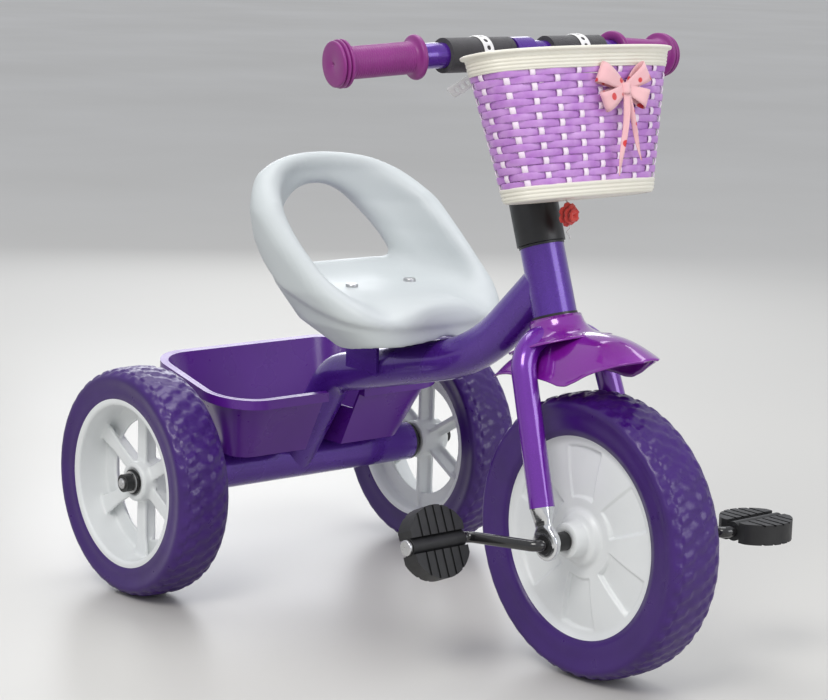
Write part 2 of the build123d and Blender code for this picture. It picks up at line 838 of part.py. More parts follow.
def crate_section(plane, length, front_half, back_half, inset, corner):
    """A tapered four-sided outline with round corners; local x runs back from the front edge."""
    with BuildSketch(plane) as section:
        with BuildLine():
            Polyline(
                (inset, -front_half + inset),
                (length - inset, -back_half + inset),
                (length - inset, back_half - inset),
                (inset, front_half - inset),
                close=True,
            )
        make_face()
        fillet(section.vertices(), corner - inset)
    return section.sketch


def crate_block(inset, floor_raise, rim_raise):
    """The crate's tapered volume, shrunk by a wall and shifted up at floor and rim."""
    floor_plane = crate_floor_plane.offset(floor_raise)
    rim_plane = crate_rim_plane.offset(rim_raise)
    with BuildPart() as block:
        add(
            crate_section(
                floor_plane, crate_floor_length, crate_floor_front_half, crate_floor_back_half, inset, 18.0
            )
        )
        add(crate_section(rim_plane, crate_length, crate_front_half, crate_back_half, inset, 40.0))
        loft()
    return block.part


crate_slot_half = beam_radius + crate_slot_clearance


def crate_slot(grow, top):
    """The upright channel in the crate's front wall that the beam's rear run passes down through."""
    slant_foot = (rear_axle_x - beam_radius - grow, crate_floor_z + 8 + grow)
    slant_head = (beam_elbow[0] - beam_radius - crate_slot_clearance - 20 - grow, crate_rim_z + 60)
    share = (top - slant_foot[1]) / (slant_head[1] - slant_foot[1])
    with BuildPart() as slot:
        with BuildSketch(Plane.XZ):
            with BuildLine():
                Polyline(
                    (crate_front_x + 40, crate_floor_z - 30),
                    (slant_foot[0], crate_floor_z - 30),
                    slant_foot,
                    (slant_foot[0] + share * (slant_head[0] - slant_foot[0]), top),
                    (crate_front_x + 40, top),
                    close=True,
                )
            make_face()
        extrude(amount=crate_slot_half + grow, both=True)
    return slot.part


crate_screw_radius = seat_bolt_radius
crate_screw_head = 2 * crate_screw_radius
crate_screw_spots = [(rear_axle_x, side * crate_screw_offset) for side in (-1, 1)]


def screw_head(spot):
    """A countersunk head as deep as the crate's floor, flush with its top."""
    with BuildPart() as head:
        with BuildSketch(Plane.XY.offset(crate_floor_z)):
            with Locations(spot):
                Circle(crate_screw_radius)
        with BuildSketch(Plane.XY.offset(crate_floor_z + crate_wall)):
            with Locations(spot):
                Circle(crate_screw_head)
        loft()
    return head.part


with BuildPart() as crate_cavity:
    add(crate_block(crate_wall, crate_wall, 0.01))
    add(crate_slot(crate_wall, crate_rim_z - crate_channel_drop), mode=Mode.SUBTRACT)

with BuildPart() as crate:
    add(crate_block(0, 0, 0))
    lip_plane = crate_rim_plane.offset(-crate_lip_depth)
    add(crate_section(lip_plane, crate_length, crate_front_half, crate_back_half, -crate_lip, 40.0))
    extrude(amount=crate_lip_depth)
    add(crate_cavity.part, mode=Mode.SUBTRACT)
    add(crate_slot(0, crate_rim_z + 60), mode=Mode.SUBTRACT)
    for spot in crate_screw_spots:
        add(screw_head(spot), mode=Mode.SUBTRACT)
finish(crate.part, "crate")


with BuildPart() as crate_screws:
    for spot in crate_screw_spots:
        add(screw_head(spot))
    with BuildSketch(Plane.XY.offset(crate_floor_z + 1)):
        with Locations(*crate_screw_spots):
            Circle(crate_screw_radius)
    extrude(amount=-1.4)
finish(crate_screws.part, "crate_screws")

# ---------------------------------------------------------------- stem and handlebar
stem_start = steerer_top
bar_centre = steer_point(bar_reach, 0, bar_height)

with BuildPart() as sleeve:
    with BuildSketch(across_steerer(sleeve_start)):
        Circle(sleeve_radius)
        Circle(steerer_radius, mode=Mode.SUBTRACT)
    extrude(amount=sleeve_length)
    fillet(sleeve.edges().filter_by(GeomType.CIRCLE).sort_by(Axis.Z)[-1], 2)
finish(sleeve.part, "stem_sleeve")

with BuildPart() as stem:
    with BuildLine(along_steerer()) as stem_path:
        FilletPolyline(
            (0, stem_start),
            (0, stem_bend_start),
            (bar_reach, bar_height),
            radius=90,
        )
    with BuildSketch(Plane(origin=stem_path.line @ 0, z_dir=stem_path.line % 0)):
        Circle(stem_radius)
    sweep()
    with BuildSketch(across_steerer(stem_start - 40)):
        Circle(steerer_radius - steerer_wall)
    extrude(amount=40)
    with BuildSketch(Plane(origin=bar_centre, x_dir=steer_forward, z_dir=left)):
        Circle(bar_clamp_radius)
    extrude(amount=bar_clamp_length / 2, both=True)
    with BuildSketch(Plane(origin=bar_centre, x_dir=steer_forward, z_dir=left)):
        Circle(bar_radius)
    extrude(amount=bar_clamp_length, both=True, mode=Mode.SUBTRACT)
finish(stem.part, "stem")

bar_tip_drop = Vector(-bar_sweep_back, 0, -bar_sweep_down)


def bar_tip(side):
    return bar_centre + bar_tip_drop + left * side * bar_half_width


def bar_bend(side):
    return bar_centre + left * side * bar_straight


with BuildPart() as handlebar:
    bar_wall = 1.5
    with BuildLine() as bar_path:
        FilletPolyline(bar_tip(-1), bar_bend(-1), bar_bend(1), bar_tip(1), radius=50)
    with BuildSketch(Plane(origin=bar_path.line @ 0, z_dir=bar_path.line % 0)):
        Circle(bar_radius)
        Circle(bar_radius - bar_wall, mode=Mode.SUBTRACT)
    sweep()
finish(handlebar.part, "handlebar")


def make_grip(side, label):
    """A soft grip: a ringed end cap, a round barrel and an inner flange."""
    tip = bar_tip(side)
    inwards = (bar_bend(side) - tip).normalized()
    plane = Plane(origin=tip, x_dir=inwards, z_dir=inwards.cross(Vector(0, 0, 1)).normalized())
    rings_end = 9.0
    flange = 6.0
    with BuildPart() as grip:
        with BuildSketch(plane):
            with BuildLine():
                Polyline(
                    (-grip_cap, 0),
                    (-grip_cap, grip_flange_radius - 2),
                    (-grip_cap + 2, grip_flange_radius),
                    (rings_end - 2, grip_flange_radius),
                    (rings_end, grip_radius + 2),
                    (rings_end, grip_radius),
                    (grip_length - flange, grip_radius),
                    (grip_length - flange, grip_flange_radius),
                    (grip_length, grip_flange_radius),
                    (grip_length, bar_radius),
                    (0, bar_radius),
                    (0, 0),
                    close=True,
                )
            make_face()
        revolve(axis=Axis(tip, inwards))
    return finish(grip.part, label)


def make_foam(span, label):
    """A foam sleeve on the straight of the bar."""
    start = bar_centre + left * span[0]
    with BuildPart() as foam:
        with BuildSketch(Plane(origin=start, x_dir=steer_forward, z_dir=left)):
            Circle(foam_radius)
            Circle(bar_radius, mode=Mode.SUBTRACT)
        extrude(amount=span[1] - span[0])
    return finish(foam.part, label)


make_grip(-1, "grip_right")
make_grip(1, "grip_left")
make_foam(right_foam, "foam_right")
make_foam(left_foam, "foam_left")

# ---------------------------------------------------------------- basket
basket_forward = Vector(cos(radians(basket_pitch)), 0, sin(radians(basket_pitch)))
basket_up = Vector(-sin(radians(basket_pitch)), 0, cos(radians(basket_pitch)))
basket_back_clearance = foam_radius + strap_thickness + basket_lip + 1.0
basket_origin = bar_centre + Vector(basket_half_depth + basket_back_clearance, 0, basket_rim_rise)


def basket_plane(height):
    """A plane across the basket, measured up from its rim."""
    return Plane(origin=basket_origin + basket_up * height, x_dir=basket_forward, z_dir=basket_up)


def basket_section(height, inset):
    """The basket's rounded outline at a height below the rim."""
    share = -height / basket_height
    depth = basket_half_depth + share * (basket_base_half_depth - basket_half_depth) - inset
    width = basket_half_width + share * (basket_base_half_width - basket_half_width) - inset
    with BuildSketch(basket_plane(height)) as section:
        with Locations((share * basket_base_shift, 0)):
            RectangleRounded(2 * depth, 2 * width, basket_corner_share * depth)
    return section.sketch


def basket_block(low, high, inset):
    with BuildPart() as block:
        add(basket_section(low, inset))
        add(basket_section(high, inset))
        loft()
    return block.part


weave_top = -basket_rim_depth
weave_bottom = -basket_height + basket_base_depth

with BuildPart() as basket_rim:
    add(basket_block(weave_top, 0, 0))
    add(basket_section(-basket_lip_height, -basket_lip))
    extrude(amount=basket_lip_height)
    add(basket_block(weave_top - 1, 1, basket_wall), mode=Mode.SUBTRACT)
finish(basket_rim.part, "basket_rim")

with BuildPart() as basket_weave:
    add(basket_block(weave_bottom, weave_top, 0))
    add(basket_block(weave_bottom - 1, weave_top + 1, basket_wall), mode=Mode.SUBTRACT)
finish(basket_weave.part, "basket_weave")

with BuildPart() as basket_base:
    add(basket_block(-basket_height, weave_bottom, 0))
    add(basket_block(-basket_height + basket_floor, weave_bottom + 1, basket_wall), mode=Mode.SUBTRACT)
finish(basket_base.part, "basket_base")


def make_strap(side_place, label):
    """A perforated strap: a loop round the foam and a tongue through to the basket's back."""
    middle = bar_centre + left * side_place
    tongue_drop = 10.0
    tongue_reach = foam_radius + basket_half_depth
    with BuildPart() as strap:
        with BuildSketch(Plane(origin=middle, x_dir=(1, 0, 0), z_dir=(0, -1, 0))):
            Circle(foam_radius + strap_thickness)
            with Locations((tongue_reach / 2, -tongue_drop)):
                Rectangle(tongue_reach, 2 * strap_thickness)
            Circle(foam_radius, mode=Mode.SUBTRACT)
        extrude(amount=strap_width / 2, both=True)
        add(basket_block(-basket_height, 0, 0), mode=Mode.SUBTRACT)
    return finish(strap.part.solids().sort_by(Axis.X)[0], label)


make_strap(right_strap, "strap_right")
make_strap(left_strap, "strap_left")


def make_bow():
    """A ribbon bow tied to the front of the basket: two loops, a knot and two tails."""
    share = bow_drop / basket_height
    front = basket_half_depth + share * (basket_base_half_depth - basket_half_depth + basket_base_shift)
    lean = (basket_half_depth - basket_base_half_depth - basket_base_shift) / basket_height
    normal = (basket_forward - basket_up * lean).normalized()
    centre = basket_origin + basket_forward * (front + basket_gap) - basket_up * bow_drop + left * bow_side
    plane = Plane(origin=centre, x_dir=left, z_dir=normal)
    with BuildPart() as bow:
        with BuildSketch(plane):
            with BuildLine():
                Polyline(
                    (0, 5),
                    (bow_half_width, bow_half_height),
                    (bow_half_width, -bow_half_height),
                    (0, -5),
                    (-bow_half_width, -bow_half_height),
                    (-bow_half_width, bow_half_height),
                    close=True,
                )
            make_face()
            with Locations((-14, -bow_tail / 2)):
                Rectangle(8, bow_tail, rotation=-18)
            with Locations((14, -bow_tail / 2)):
                Rectangle(8, bow_tail, rotation=18)
        extrude(amount=bow_thickness)
    return finish(bow.part, "bow")


make_bow()


def make_rosette():
    """A small ribbon rosette that hangs under the basket's floor."""
    place = basket_base_shift - rosette_setback
    centre = basket_origin - basket_up * basket_height + basket_forward * place
    with BuildPart() as rosette:
        with BuildSketch(Plane(origin=centre, x_dir=basket_forward, z_dir=-basket_up)):
            Circle(rosette_radius)
        extrude(amount=rosette_length, taper=12)
    return finish(rosette.part, "ribbon_rosette")


make_rosette()
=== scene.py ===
import json
import math

import bmesh
import bpy
import numpy as np
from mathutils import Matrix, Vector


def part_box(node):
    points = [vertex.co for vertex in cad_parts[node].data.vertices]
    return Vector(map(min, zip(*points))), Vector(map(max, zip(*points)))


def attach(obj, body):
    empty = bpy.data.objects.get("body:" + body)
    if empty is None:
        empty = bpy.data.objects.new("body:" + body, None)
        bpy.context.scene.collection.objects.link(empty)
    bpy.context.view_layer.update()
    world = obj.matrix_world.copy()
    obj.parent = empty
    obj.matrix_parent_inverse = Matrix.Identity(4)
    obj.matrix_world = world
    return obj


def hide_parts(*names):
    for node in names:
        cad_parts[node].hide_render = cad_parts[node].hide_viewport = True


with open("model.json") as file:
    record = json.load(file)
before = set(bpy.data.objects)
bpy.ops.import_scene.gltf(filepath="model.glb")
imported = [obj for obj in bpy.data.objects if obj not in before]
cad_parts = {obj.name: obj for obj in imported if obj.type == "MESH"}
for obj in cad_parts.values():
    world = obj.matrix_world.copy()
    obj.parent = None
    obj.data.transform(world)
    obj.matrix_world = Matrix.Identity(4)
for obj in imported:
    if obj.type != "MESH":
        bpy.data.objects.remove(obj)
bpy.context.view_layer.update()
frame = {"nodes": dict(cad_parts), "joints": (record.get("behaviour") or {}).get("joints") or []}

import openvdb
from mathutils import Matrix, Vector

nodes = frame["nodes"]
scene = bpy.context.scene
MM = 0.001

# ---------------------------------------------------------------- places, read from the frame
left = Vector((0, 1, 0))
steer_joint = next(joint for joint in frame["joints"] if joint["name"] == "steer")
steer_up = Vector(steer_joint["axis"]).normalized()
steer_forward = left.cross(steer_up)


def middle(node):
    low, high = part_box(node)
    return (low + high) / 2


def half_size(node):
    low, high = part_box(node)
    return (high - low) / 2


front_axle = middle("front_tyre")


def steer_point(forward, side, up):
    """A point along the fork, in millimetres from the front axle."""
    return front_axle + (steer_forward * forward + left * side + steer_up * up) * MM


# ---------------------------------------------------------------- camera, floor and light
def make_camera():
    """The camera's place, aim and lens, at the photograph's viewing angle."""
    place = (1.6988, -1.4688, 0.6642)
    yaw, pitch, roll = math.radians(139.844), math.radians(10.368), math.radians(1.6)
    forward = Vector((math.cos(yaw) * math.cos(pitch), math.sin(yaw) * math.cos(pitch), -math.sin(pitch)))
    level = Vector((math.sin(yaw), -math.cos(yaw), 0))
    upright = level.cross(forward)
    right = level * math.cos(roll) + upright * math.sin(roll)
    up = upright * math.cos(roll) - level * math.sin(roll)
    data = bpy.data.cameras.new("camera")
    data.lens = 108.0
    data.sensor_width = 36.0
    camera = bpy.data.objects.new("camera", data)
    scene.collection.objects.link(camera)
    turn = Matrix((right, up, -forward)).transposed().to_4x4()
    camera.matrix_world = Matrix.Translation(place) @ turn
    scene.camera = camera


def make_light(name, place, aim, size, power, colour):
    data = bpy.data.lights.new(name, "AREA")
    data.energy = power
    data.size = size
    data.color = colour
    light = bpy.data.objects.new(name, data)
    scene.collection.objects.link(light)
    light.location = place
    light.rotation_euler = (Vector(aim) - Vector(place)).to_track_quat("-Z", "Y").to_euler()


def make_studio():
    world = bpy.data.worlds.new("studio")
    world.use_nodes = True
    background = world.node_tree.nodes["Background"]
    background.inputs["Color"].default_value = (0.93, 0.95, 1.0, 1)
    background.inputs["Strength"].default_value = 0.68
    scene.world = world
    scene.view_settings.view_transform = "Standard"
    aim = (0.0, 0.0, 0.28)
    make_light("key", (0.9, -1.5, 2.0), aim, 0.9, 26, (1.0, 0.98, 0.95))
    make_light("fill", (2.2, 0.6, 1.1), aim, 1.2, 15, (0.95, 0.97, 1.0))
    make_light("top", (-0.6, 0.4, 2.2), aim, 1.4, 18, (1.0, 1.0, 1.0))
    make_light("rim", (-1.8, 1.2, 0.9), aim, 1.0, 9, (0.95, 0.97, 1.0))
    reach = 30.0
    floor_mesh = bpy.data.meshes.new("floor")
    corners = [(-reach, -reach, 0), (reach, -reach, 0), (reach, reach, 0), (-reach, reach, 0)]
    floor_mesh.from_pydata(corners, [], [(0, 1, 2, 3)])
    floor = bpy.data.objects.new("floor", floor_mesh)
    scene.collection.objects.link(floor)
    floor.data.materials.append(
        material("floor_finish", (0.58, 0.57, 0.54), 0.38, second=(0.57, 0.56, 0.53), mottle=0.5, bump=0.0)
    )


# ---------------------------------------------------------------- materials
def material(
    name, colour, roughness, second=None, metallic=0.0, coat=0.0, mottle=30.0, spread=0.06,
    grain=900.0, bump=0.15, height=0.0002, sheen=0.0, subsurface=0.0, flake_glint=0.0, weave=0.0, cells=False,
):
    """A finish with mottled colour, uneven roughness, a fine surface grain and optional painted flake glints.
    """
    made = bpy.data.materials.new(name)
    made.use_nodes = True
    tree = made.node_tree
    shader = tree.nodes["Principled BSDF"]
    shader.inputs["Metallic"].default_value = metallic
    shader.inputs["Coat Weight"].default_value = coat
    shader.inputs["Coat Roughness"].default_value = 0.06
    shader.inputs["Sheen Weight"].default_value = sheen
    shader.inputs["Subsurface Weight"].default_value = subsurface
    shader.inputs["Subsurface Radius"].default_value = (0.004, 0.004, 0.004)
    place = tree.nodes.new("ShaderNodeTexCoord")

    def noise(scale, detail):
        node = tree.nodes.new("ShaderNodeTexNoise")
        node.inputs["Scale"].default_value = scale
        node.inputs["Detail"].default_value = detail
        tree.links.new(place.outputs["Object"], node.inputs["Vector"])
        return node.outputs["Fac"]

    def blend(factor, first, other):
        node = tree.nodes.new("ShaderNodeMix")
        node.data_type = "RGBA"
        tree.links.new(factor, node.inputs["Factor"])
        for socket, value in ((node.inputs["A"], first), (node.inputs["B"], other)):
            if isinstance(value, bpy.types.NodeSocket):
                tree.links.new(value, socket)
            else:
                socket.default_value = (*value, 1)
        return node.outputs["Result"]

    def span(value, low, high, out_low, out_high):
        node = tree.nodes.new("ShaderNodeMapRange")
        tree.links.new(value, node.inputs["Value"])
        for key, number in zip(("From Min", "From Max", "To Min", "To Max"), (low, high, out_low, out_high)):
            node.inputs[key].default_value = number
        return node.outputs["Result"]

    other = second or tuple(channel * 0.8 for channel in colour)
    tint = blend(span(noise(mottle, 5), 0.35, 0.65, 0.0, 1.0), colour, other)
    # Painted highlight: bright specks mixed into the base colour where metal flakes in the paint would catch
    # the light.
    if flake_glint:
        speck = tree.nodes.new("ShaderNodeTexVoronoi")
        speck.inputs["Scale"].default_value = 2600
        tree.links.new(place.outputs["Object"], speck.inputs["Vector"])
        flake_glint_colour = tuple(min(1.0, channel * 1.9 + 0.02) for channel in colour)
        tint = blend(span(speck.outputs["Color"], 0.55, 1.0, 0.0, flake_glint), tint, flake_glint_colour)
    tree.links.new(tint, shader.inputs["Base Color"])
    uneven = span(noise(mottle * 2.7, 3), 0.3, 0.7, max(0.02, roughness - spread), roughness + spread)
    tree.links.new(uneven, shader.inputs["Roughness"])
    if bump:
        relief = tree.nodes.new("ShaderNodeBump")
        relief.inputs["Strength"].default_value = bump
        relief.inputs["Distance"].default_value = height
        if weave:
            threads = tree.nodes.new("ShaderNodeTexWave")
            threads.wave_type = "BANDS"
            threads.bands_direction = "DIAGONAL"
            threads.inputs["Scale"].default_value = weave
            threads.inputs["Distortion"].default_value = 0.6
            tree.links.new(place.outputs["Object"], threads.inputs["Vector"])
            tree.links.new(threads.outputs["Fac"], relief.inputs["Height"])
        elif cells:
            pores = tree.nodes.new("ShaderNodeTexVoronoi")
            pores.inputs["Scale"].default_value = grain
            tree.links.new(place.outputs["Object"], pores.inputs["Vector"])
            tree.links.new(pores.outputs["Distance"], relief.inputs["Height"])
        else:
            tree.links.new(noise(grain, 4), relief.inputs["Height"])
        tree.links.new(relief.outputs["Normal"], shader.inputs["Normal"])
    return made


tyre_foam = material(
    "tyre_foam", (0.042, 0.0065, 0.145), 0.33, second=(0.034, 0.005, 0.118), mottle=22, grain=1500, bump=0.18,
    cells=True, spread=0.06,
)
beam_paint = material(
    "beam_paint", (0.082, 0.016, 0.285), 0.28, second=(0.068, 0.012, 0.240), metallic=0.35, coat=0.6,
    flake_glint=0.5, mottle=12, grain=260, bump=0.03, height=0.0004,
)
fork_paint = material(
    "fork_paint", (0.150, 0.010, 0.350), 0.22, second=(0.130, 0.008, 0.310), metallic=0.25, coat=0.9,
    flake_glint=0.3, mottle=10, grain=180, bump=0.03, height=0.0005,
)
fender_paint = material(
    "fender_paint", (0.225, 0.010, 0.330), 0.20, second=(0.200, 0.008, 0.300), metallic=0.15, coat=1.0,
    flake_glint=0.2, mottle=9, grain=160, bump=0.03, height=0.0005,
)
chrome_plate = material(
    "chrome_plate", (0.78, 0.79, 0.80), 0.16, second=(0.66, 0.67, 0.69), metallic=1.0, mottle=90, grain=420,
    bump=0.02, spread=0.06,
)
zinc_plate = material(
    "zinc_plate", (0.60, 0.60, 0.61), 0.34, second=(0.50, 0.50, 0.50), metallic=1.0, mottle=160, grain=1200,
    bump=0.12, spread=0.1,
)
black_plastic = material(
    "black_plastic", (0.010, 0.010, 0.011), 0.40, second=(0.015, 0.015, 0.016), mottle=60, grain=1400,
    bump=0.2,
)
pedal_plastic = material(
    "pedal_plastic", (0.008, 0.008, 0.009), 0.50, second=(0.014, 0.014, 0.015), mottle=45, grain=900,
    bump=0.35,
)
black_paint = material(
    "black_paint", (0.010, 0.010, 0.011), 0.22, second=(0.018, 0.017, 0.018), coat=0.5, mottle=50, grain=300,
    bump=0.05,
)
wheel_plastic = material(
    "wheel_plastic", (0.80, 0.82, 0.82), 0.34, second=(0.75, 0.77, 0.77), mottle=14, grain=700, bump=0.08,
    subsurface=0.04,
)
crate_plastic = material(
    "crate_plastic", (0.098, 0.010, 0.255), 0.30, second=(0.082, 0.008, 0.220), mottle=10, grain=800,
    bump=0.12, coat=0.15,
)
seat_plastic = material(
    "seat_plastic", (0.585, 0.625, 0.630), 0.46, second=(0.555, 0.595, 0.600), mottle=9, grain=1100,
    bump=0.14, subsurface=0.03, spread=0.05,
)
grip_rubber = material(
    "grip_rubber", (0.235, 0.018, 0.195), 0.44, second=(0.205, 0.014, 0.170), mottle=40, grain=1300,
    bump=0.18, sheen=0.1,
)
bar_foam = material(
    "bar_foam", (0.030, 0.028, 0.032), 0.82, second=(0.020, 0.019, 0.022), mottle=80, grain=1700, bump=0.6,
    height=0.0004, cells=True, sheen=0.3,
)
basket_ivory = material(
    "basket_ivory", (0.800, 0.775, 0.680), 0.42, second=(0.765, 0.735, 0.635), mottle=26, grain=900,
    bump=0.12, subsurface=0.05,
)
basket_lilac = material(
    "basket_lilac", (0.440, 0.185, 0.560), 0.40, second=(0.560, 0.300, 0.660), mottle=75, grain=500,
    bump=0.15, subsurface=0.05, spread=0.1,
)
basket_pink = material(
    "basket_pink", (0.830, 0.690, 0.830), 0.38, second=(0.870, 0.760, 0.860), mottle=30, grain=700, bump=0.1,
    subsurface=0.05,
)
strap_plastic = material(
    "strap_plastic", (0.800, 0.800, 0.790), 0.40, second=(0.740, 0.740, 0.730), mottle=60, grain=900,
    bump=0.12, subsurface=0.04,
)
rosette_felt = material(
    "rosette_felt", (0.560, 0.030, 0.030), 0.85, second=(0.640, 0.060, 0.040), mottle=120, grain=2200,
    bump=0.6, height=0.0004, sheen=0.4,
)
thread_white = material("thread_white", (0.80, 0.79, 0.76), 0.7, mottle=300, bump=0.4, weave=900, sheen=0.3)


def spotted_ribbon():
    """Pink ribbon with a woven grain and scattered round red spots."""
    made = material(
        "ribbon_satin", (0.860, 0.500, 0.520), 0.52, second=(0.820, 0.450, 0.480), mottle=70, bump=0.35,
        weave=1600, height=0.0002, sheen=0.35,
    )
    tree = made.node_tree
    shader = tree.nodes["Principled BSDF"]
    base = shader.inputs["Base Color"].links[0].from_socket
    place = tree.nodes.new("ShaderNodeTexCoord")
    cells = tree.nodes.new("ShaderNodeTexVoronoi")
    cells.inputs["Scale"].default_value = 78
    cells.inputs["Randomness"].default_value = 0.45
    tree.links.new(place.outputs["Object"], cells.inputs["Vector"])
    edge = tree.nodes.new("ShaderNodeMapRange")
    edge.inputs["From Min"].default_value = 0.24
    edge.inputs["From Max"].default_value = 0.29
    edge.inputs["To Min"].default_value = 1.0
    edge.inputs["To Max"].default_value = 0.0
    tree.links.new(cells.outputs["Distance"], edge.inputs["Value"])
    mix = tree.nodes.new("ShaderNodeMix")
    mix.data_type = "RGBA"
    tree.links.new(edge.outputs["Result"], mix.inputs["Factor"])
    tree.links.new(base, mix.inputs["A"])
    mix.inputs["B"].default_value = (0.660, 0.025, 0.030, 1)
    tree.links.new(mix.outputs["Result"], shader.inputs["Base Color"])
    return made


ribbon_satin = spotted_ribbon()

make_camera()
make_studio()


# ---------------------------------------------------------------- mesh helpers
def add_piece(name, points, faces, body, finish, replaces=()):
    """A new piece from points in metres, smooth-shaded with its faces turned outwards."""
    mesh = bpy.data.meshes.new(name)
    mesh.from_pydata([tuple(point) for point in points], [], [tuple(face) for face in faces])
    work = bmesh.new()
    work.from_mesh(mesh)
    bmesh.ops.recalc_face_normals(work, faces=work.faces)
    work.to_mesh(mesh)
    work.free()
    mesh.shade_smooth()
    mesh.materials.append(finish)
    piece = bpy.data.objects.new(name, mesh)
    scene.collection.objects.link(piece)
    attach(piece, body)
    if replaces:
        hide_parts(*replaces)
    return piece


def grid_faces(rows, columns, loop_rows=False, loop_columns=True):
    """Quads of a grid of points, optionally joined end to end either way."""
    faces = []
    for row in range(rows if loop_rows else rows - 1):
        for column in range(columns if loop_columns else columns - 1):
            over = (column + 1) % columns
            below = (row + 1) % rows
            start, end = row * columns, below * columns
            faces.append((start + column, start + over, end + over, end + column))
    return faces


def joined(parts):
    """The points and faces of several parts as one mesh's."""
    points, faces = [], []
    for part_points, part_faces in parts:
        start = len(points)
        points.extend(part_points)
        faces.extend(tuple(start + i for i in face) for face in part_faces)
    return points, faces


def thicken(piece, thickness, levels):
    """Gives a sheet its thickness, in millimetres, and rounds it off."""
    sheet = piece.modifiers.new("sheet", "SOLIDIFY")
    sheet.thickness = thickness * MM
    sheet.offset = 0
    round_off = piece.modifiers.new("round", "SUBSURF")
    round_off.levels = levels
    round_off.render_levels = levels


def turned(profile, centre, axis, steps):
    """Points of a profile of (along, radius) pairs in millimetres, turned about an axis."""
    axis = Vector(axis).normalized()
    across = np.array(axis.orthogonal().normalized())
    third = np.cross(np.array(axis), across)
    angles = np.linspace(0, 2 * math.pi, steps, endpoint=False)
    ring = np.outer(np.cos(angles), across) + np.outer(np.sin(angles), third)
    along = np.array([pair[0] for pair in profile]) * MM
    radius = np.array([pair[1] for pair in profile]) * MM
    points = np.array(centre) + along[:, None, None] * np.array(axis) + radius[:, None, None] * ring
    return points.reshape(-1, 3)


def lathe(name, profile, centre, axis, body, finish, replaces=(), steps=128):
    """A closed ring or knob: its profile goes once round the section."""
    points = turned(profile, centre, axis, steps)
    faces = grid_faces(len(profile), steps, loop_rows=True)
    return add_piece(name, points, faces, body, finish, replaces)


def smooth_max(a, b, k):
    """The larger of two fields, blended where they are within k of each other."""
    share = np.clip(0.5 + 0.5 * (a - b) / k, 0, 1)
    return b + (a - b) * share + k * share * (1 - share)


def smooth_min(a, b, k):
    """The smaller of two fields, blended where they are within k of each other."""
    return -smooth_max(-a, -b, k)


def smooth_step(value, low, high):
    """0 up to low, 1 from high, and a smooth rise between."""
    share = np.clip((value - low) / (high - low), 0, 1)
    return share * share * (3 - 2 * share)


def field_piece(name, field, low, high, voxel, body, finish, replaces=(), relax=2):
    """A piece whose skin is where a distance field, in millimetres, is zero."""
    axes = [np.arange(low[i], high[i] + voxel, voxel) for i in range(3)]
    x, y, z = np.meshgrid(*axes, indexing="ij")
    band = 4 * voxel
    values = np.clip(field(x, y, z), -band, band).astype(np.float32)
    grid = openvdb.FloatGrid(band)
    grid.copyFromArray(values)
    points, quads = grid.convertToQuads(isovalue=0)
    points = (points * voxel + np.array(low)) * MM
    piece = add_piece(name, points, quads, body, finish, replaces)
    smooth = piece.modifiers.new("relax", "SMOOTH")
    smooth.factor = 0.5
    smooth.iterations = relax
    return piece


# ---------------------------------------------------------------- carried-over CAD nodes
def dress(finish, *names, edge=0.6):
    """Gives CAD nodes their finish and a small rounded edge that catches the light."""
    for name in names:
        node = nodes[name]
        node.data.materials.clear()
        node.data.materials.append(finish)
        bevel = node.modifiers.new("edge", "BEVEL")
        bevel.width = edge * MM
        bevel.segments = 2
        bevel.limit_method = "ANGLE"
        bevel.angle_limit = math.radians(38)
        bevel.harden_normals = False


dress(beam_paint, "head_tube", "main_beam", "rear_axle_tube", "seat_bracket", "stem", "handlebar")
dress(fork_paint, "fork_leg_right", "fork_leg_left", edge=0.8)
dress(fender_paint, "fork_crown", edge=1.5)
dress(zinc_plate, "rear_axle_rod", "rear_axle_washers", "seat_bolts", "seat_nuts", "crate_screws", edge=0.3)
dress(zinc_plate, "pedal_cap_right", "pedal_cap_left", edge=0.3)
dress(black_plastic, "head_bush_lower", "head_bush_upper", "rear_axle_plugs", "rear_axle_nuts", edge=0.4)
dress(black_plastic, "front_bush_right", "front_bush_left", edge=0.4)
dress(black_plastic, "rear_wheel_bushes_right", "rear_wheel_bushes_left", "stem_sleeve", edge=0.4)
dress(black_paint, "crank_axle")
dress(pedal_plastic, "pedal_right", "pedal_left", edge=0.7)
dress(crate_plastic, "crate", edge=1.2)
dress(bar_foam, "foam_right", "foam_left", edge=1.5)


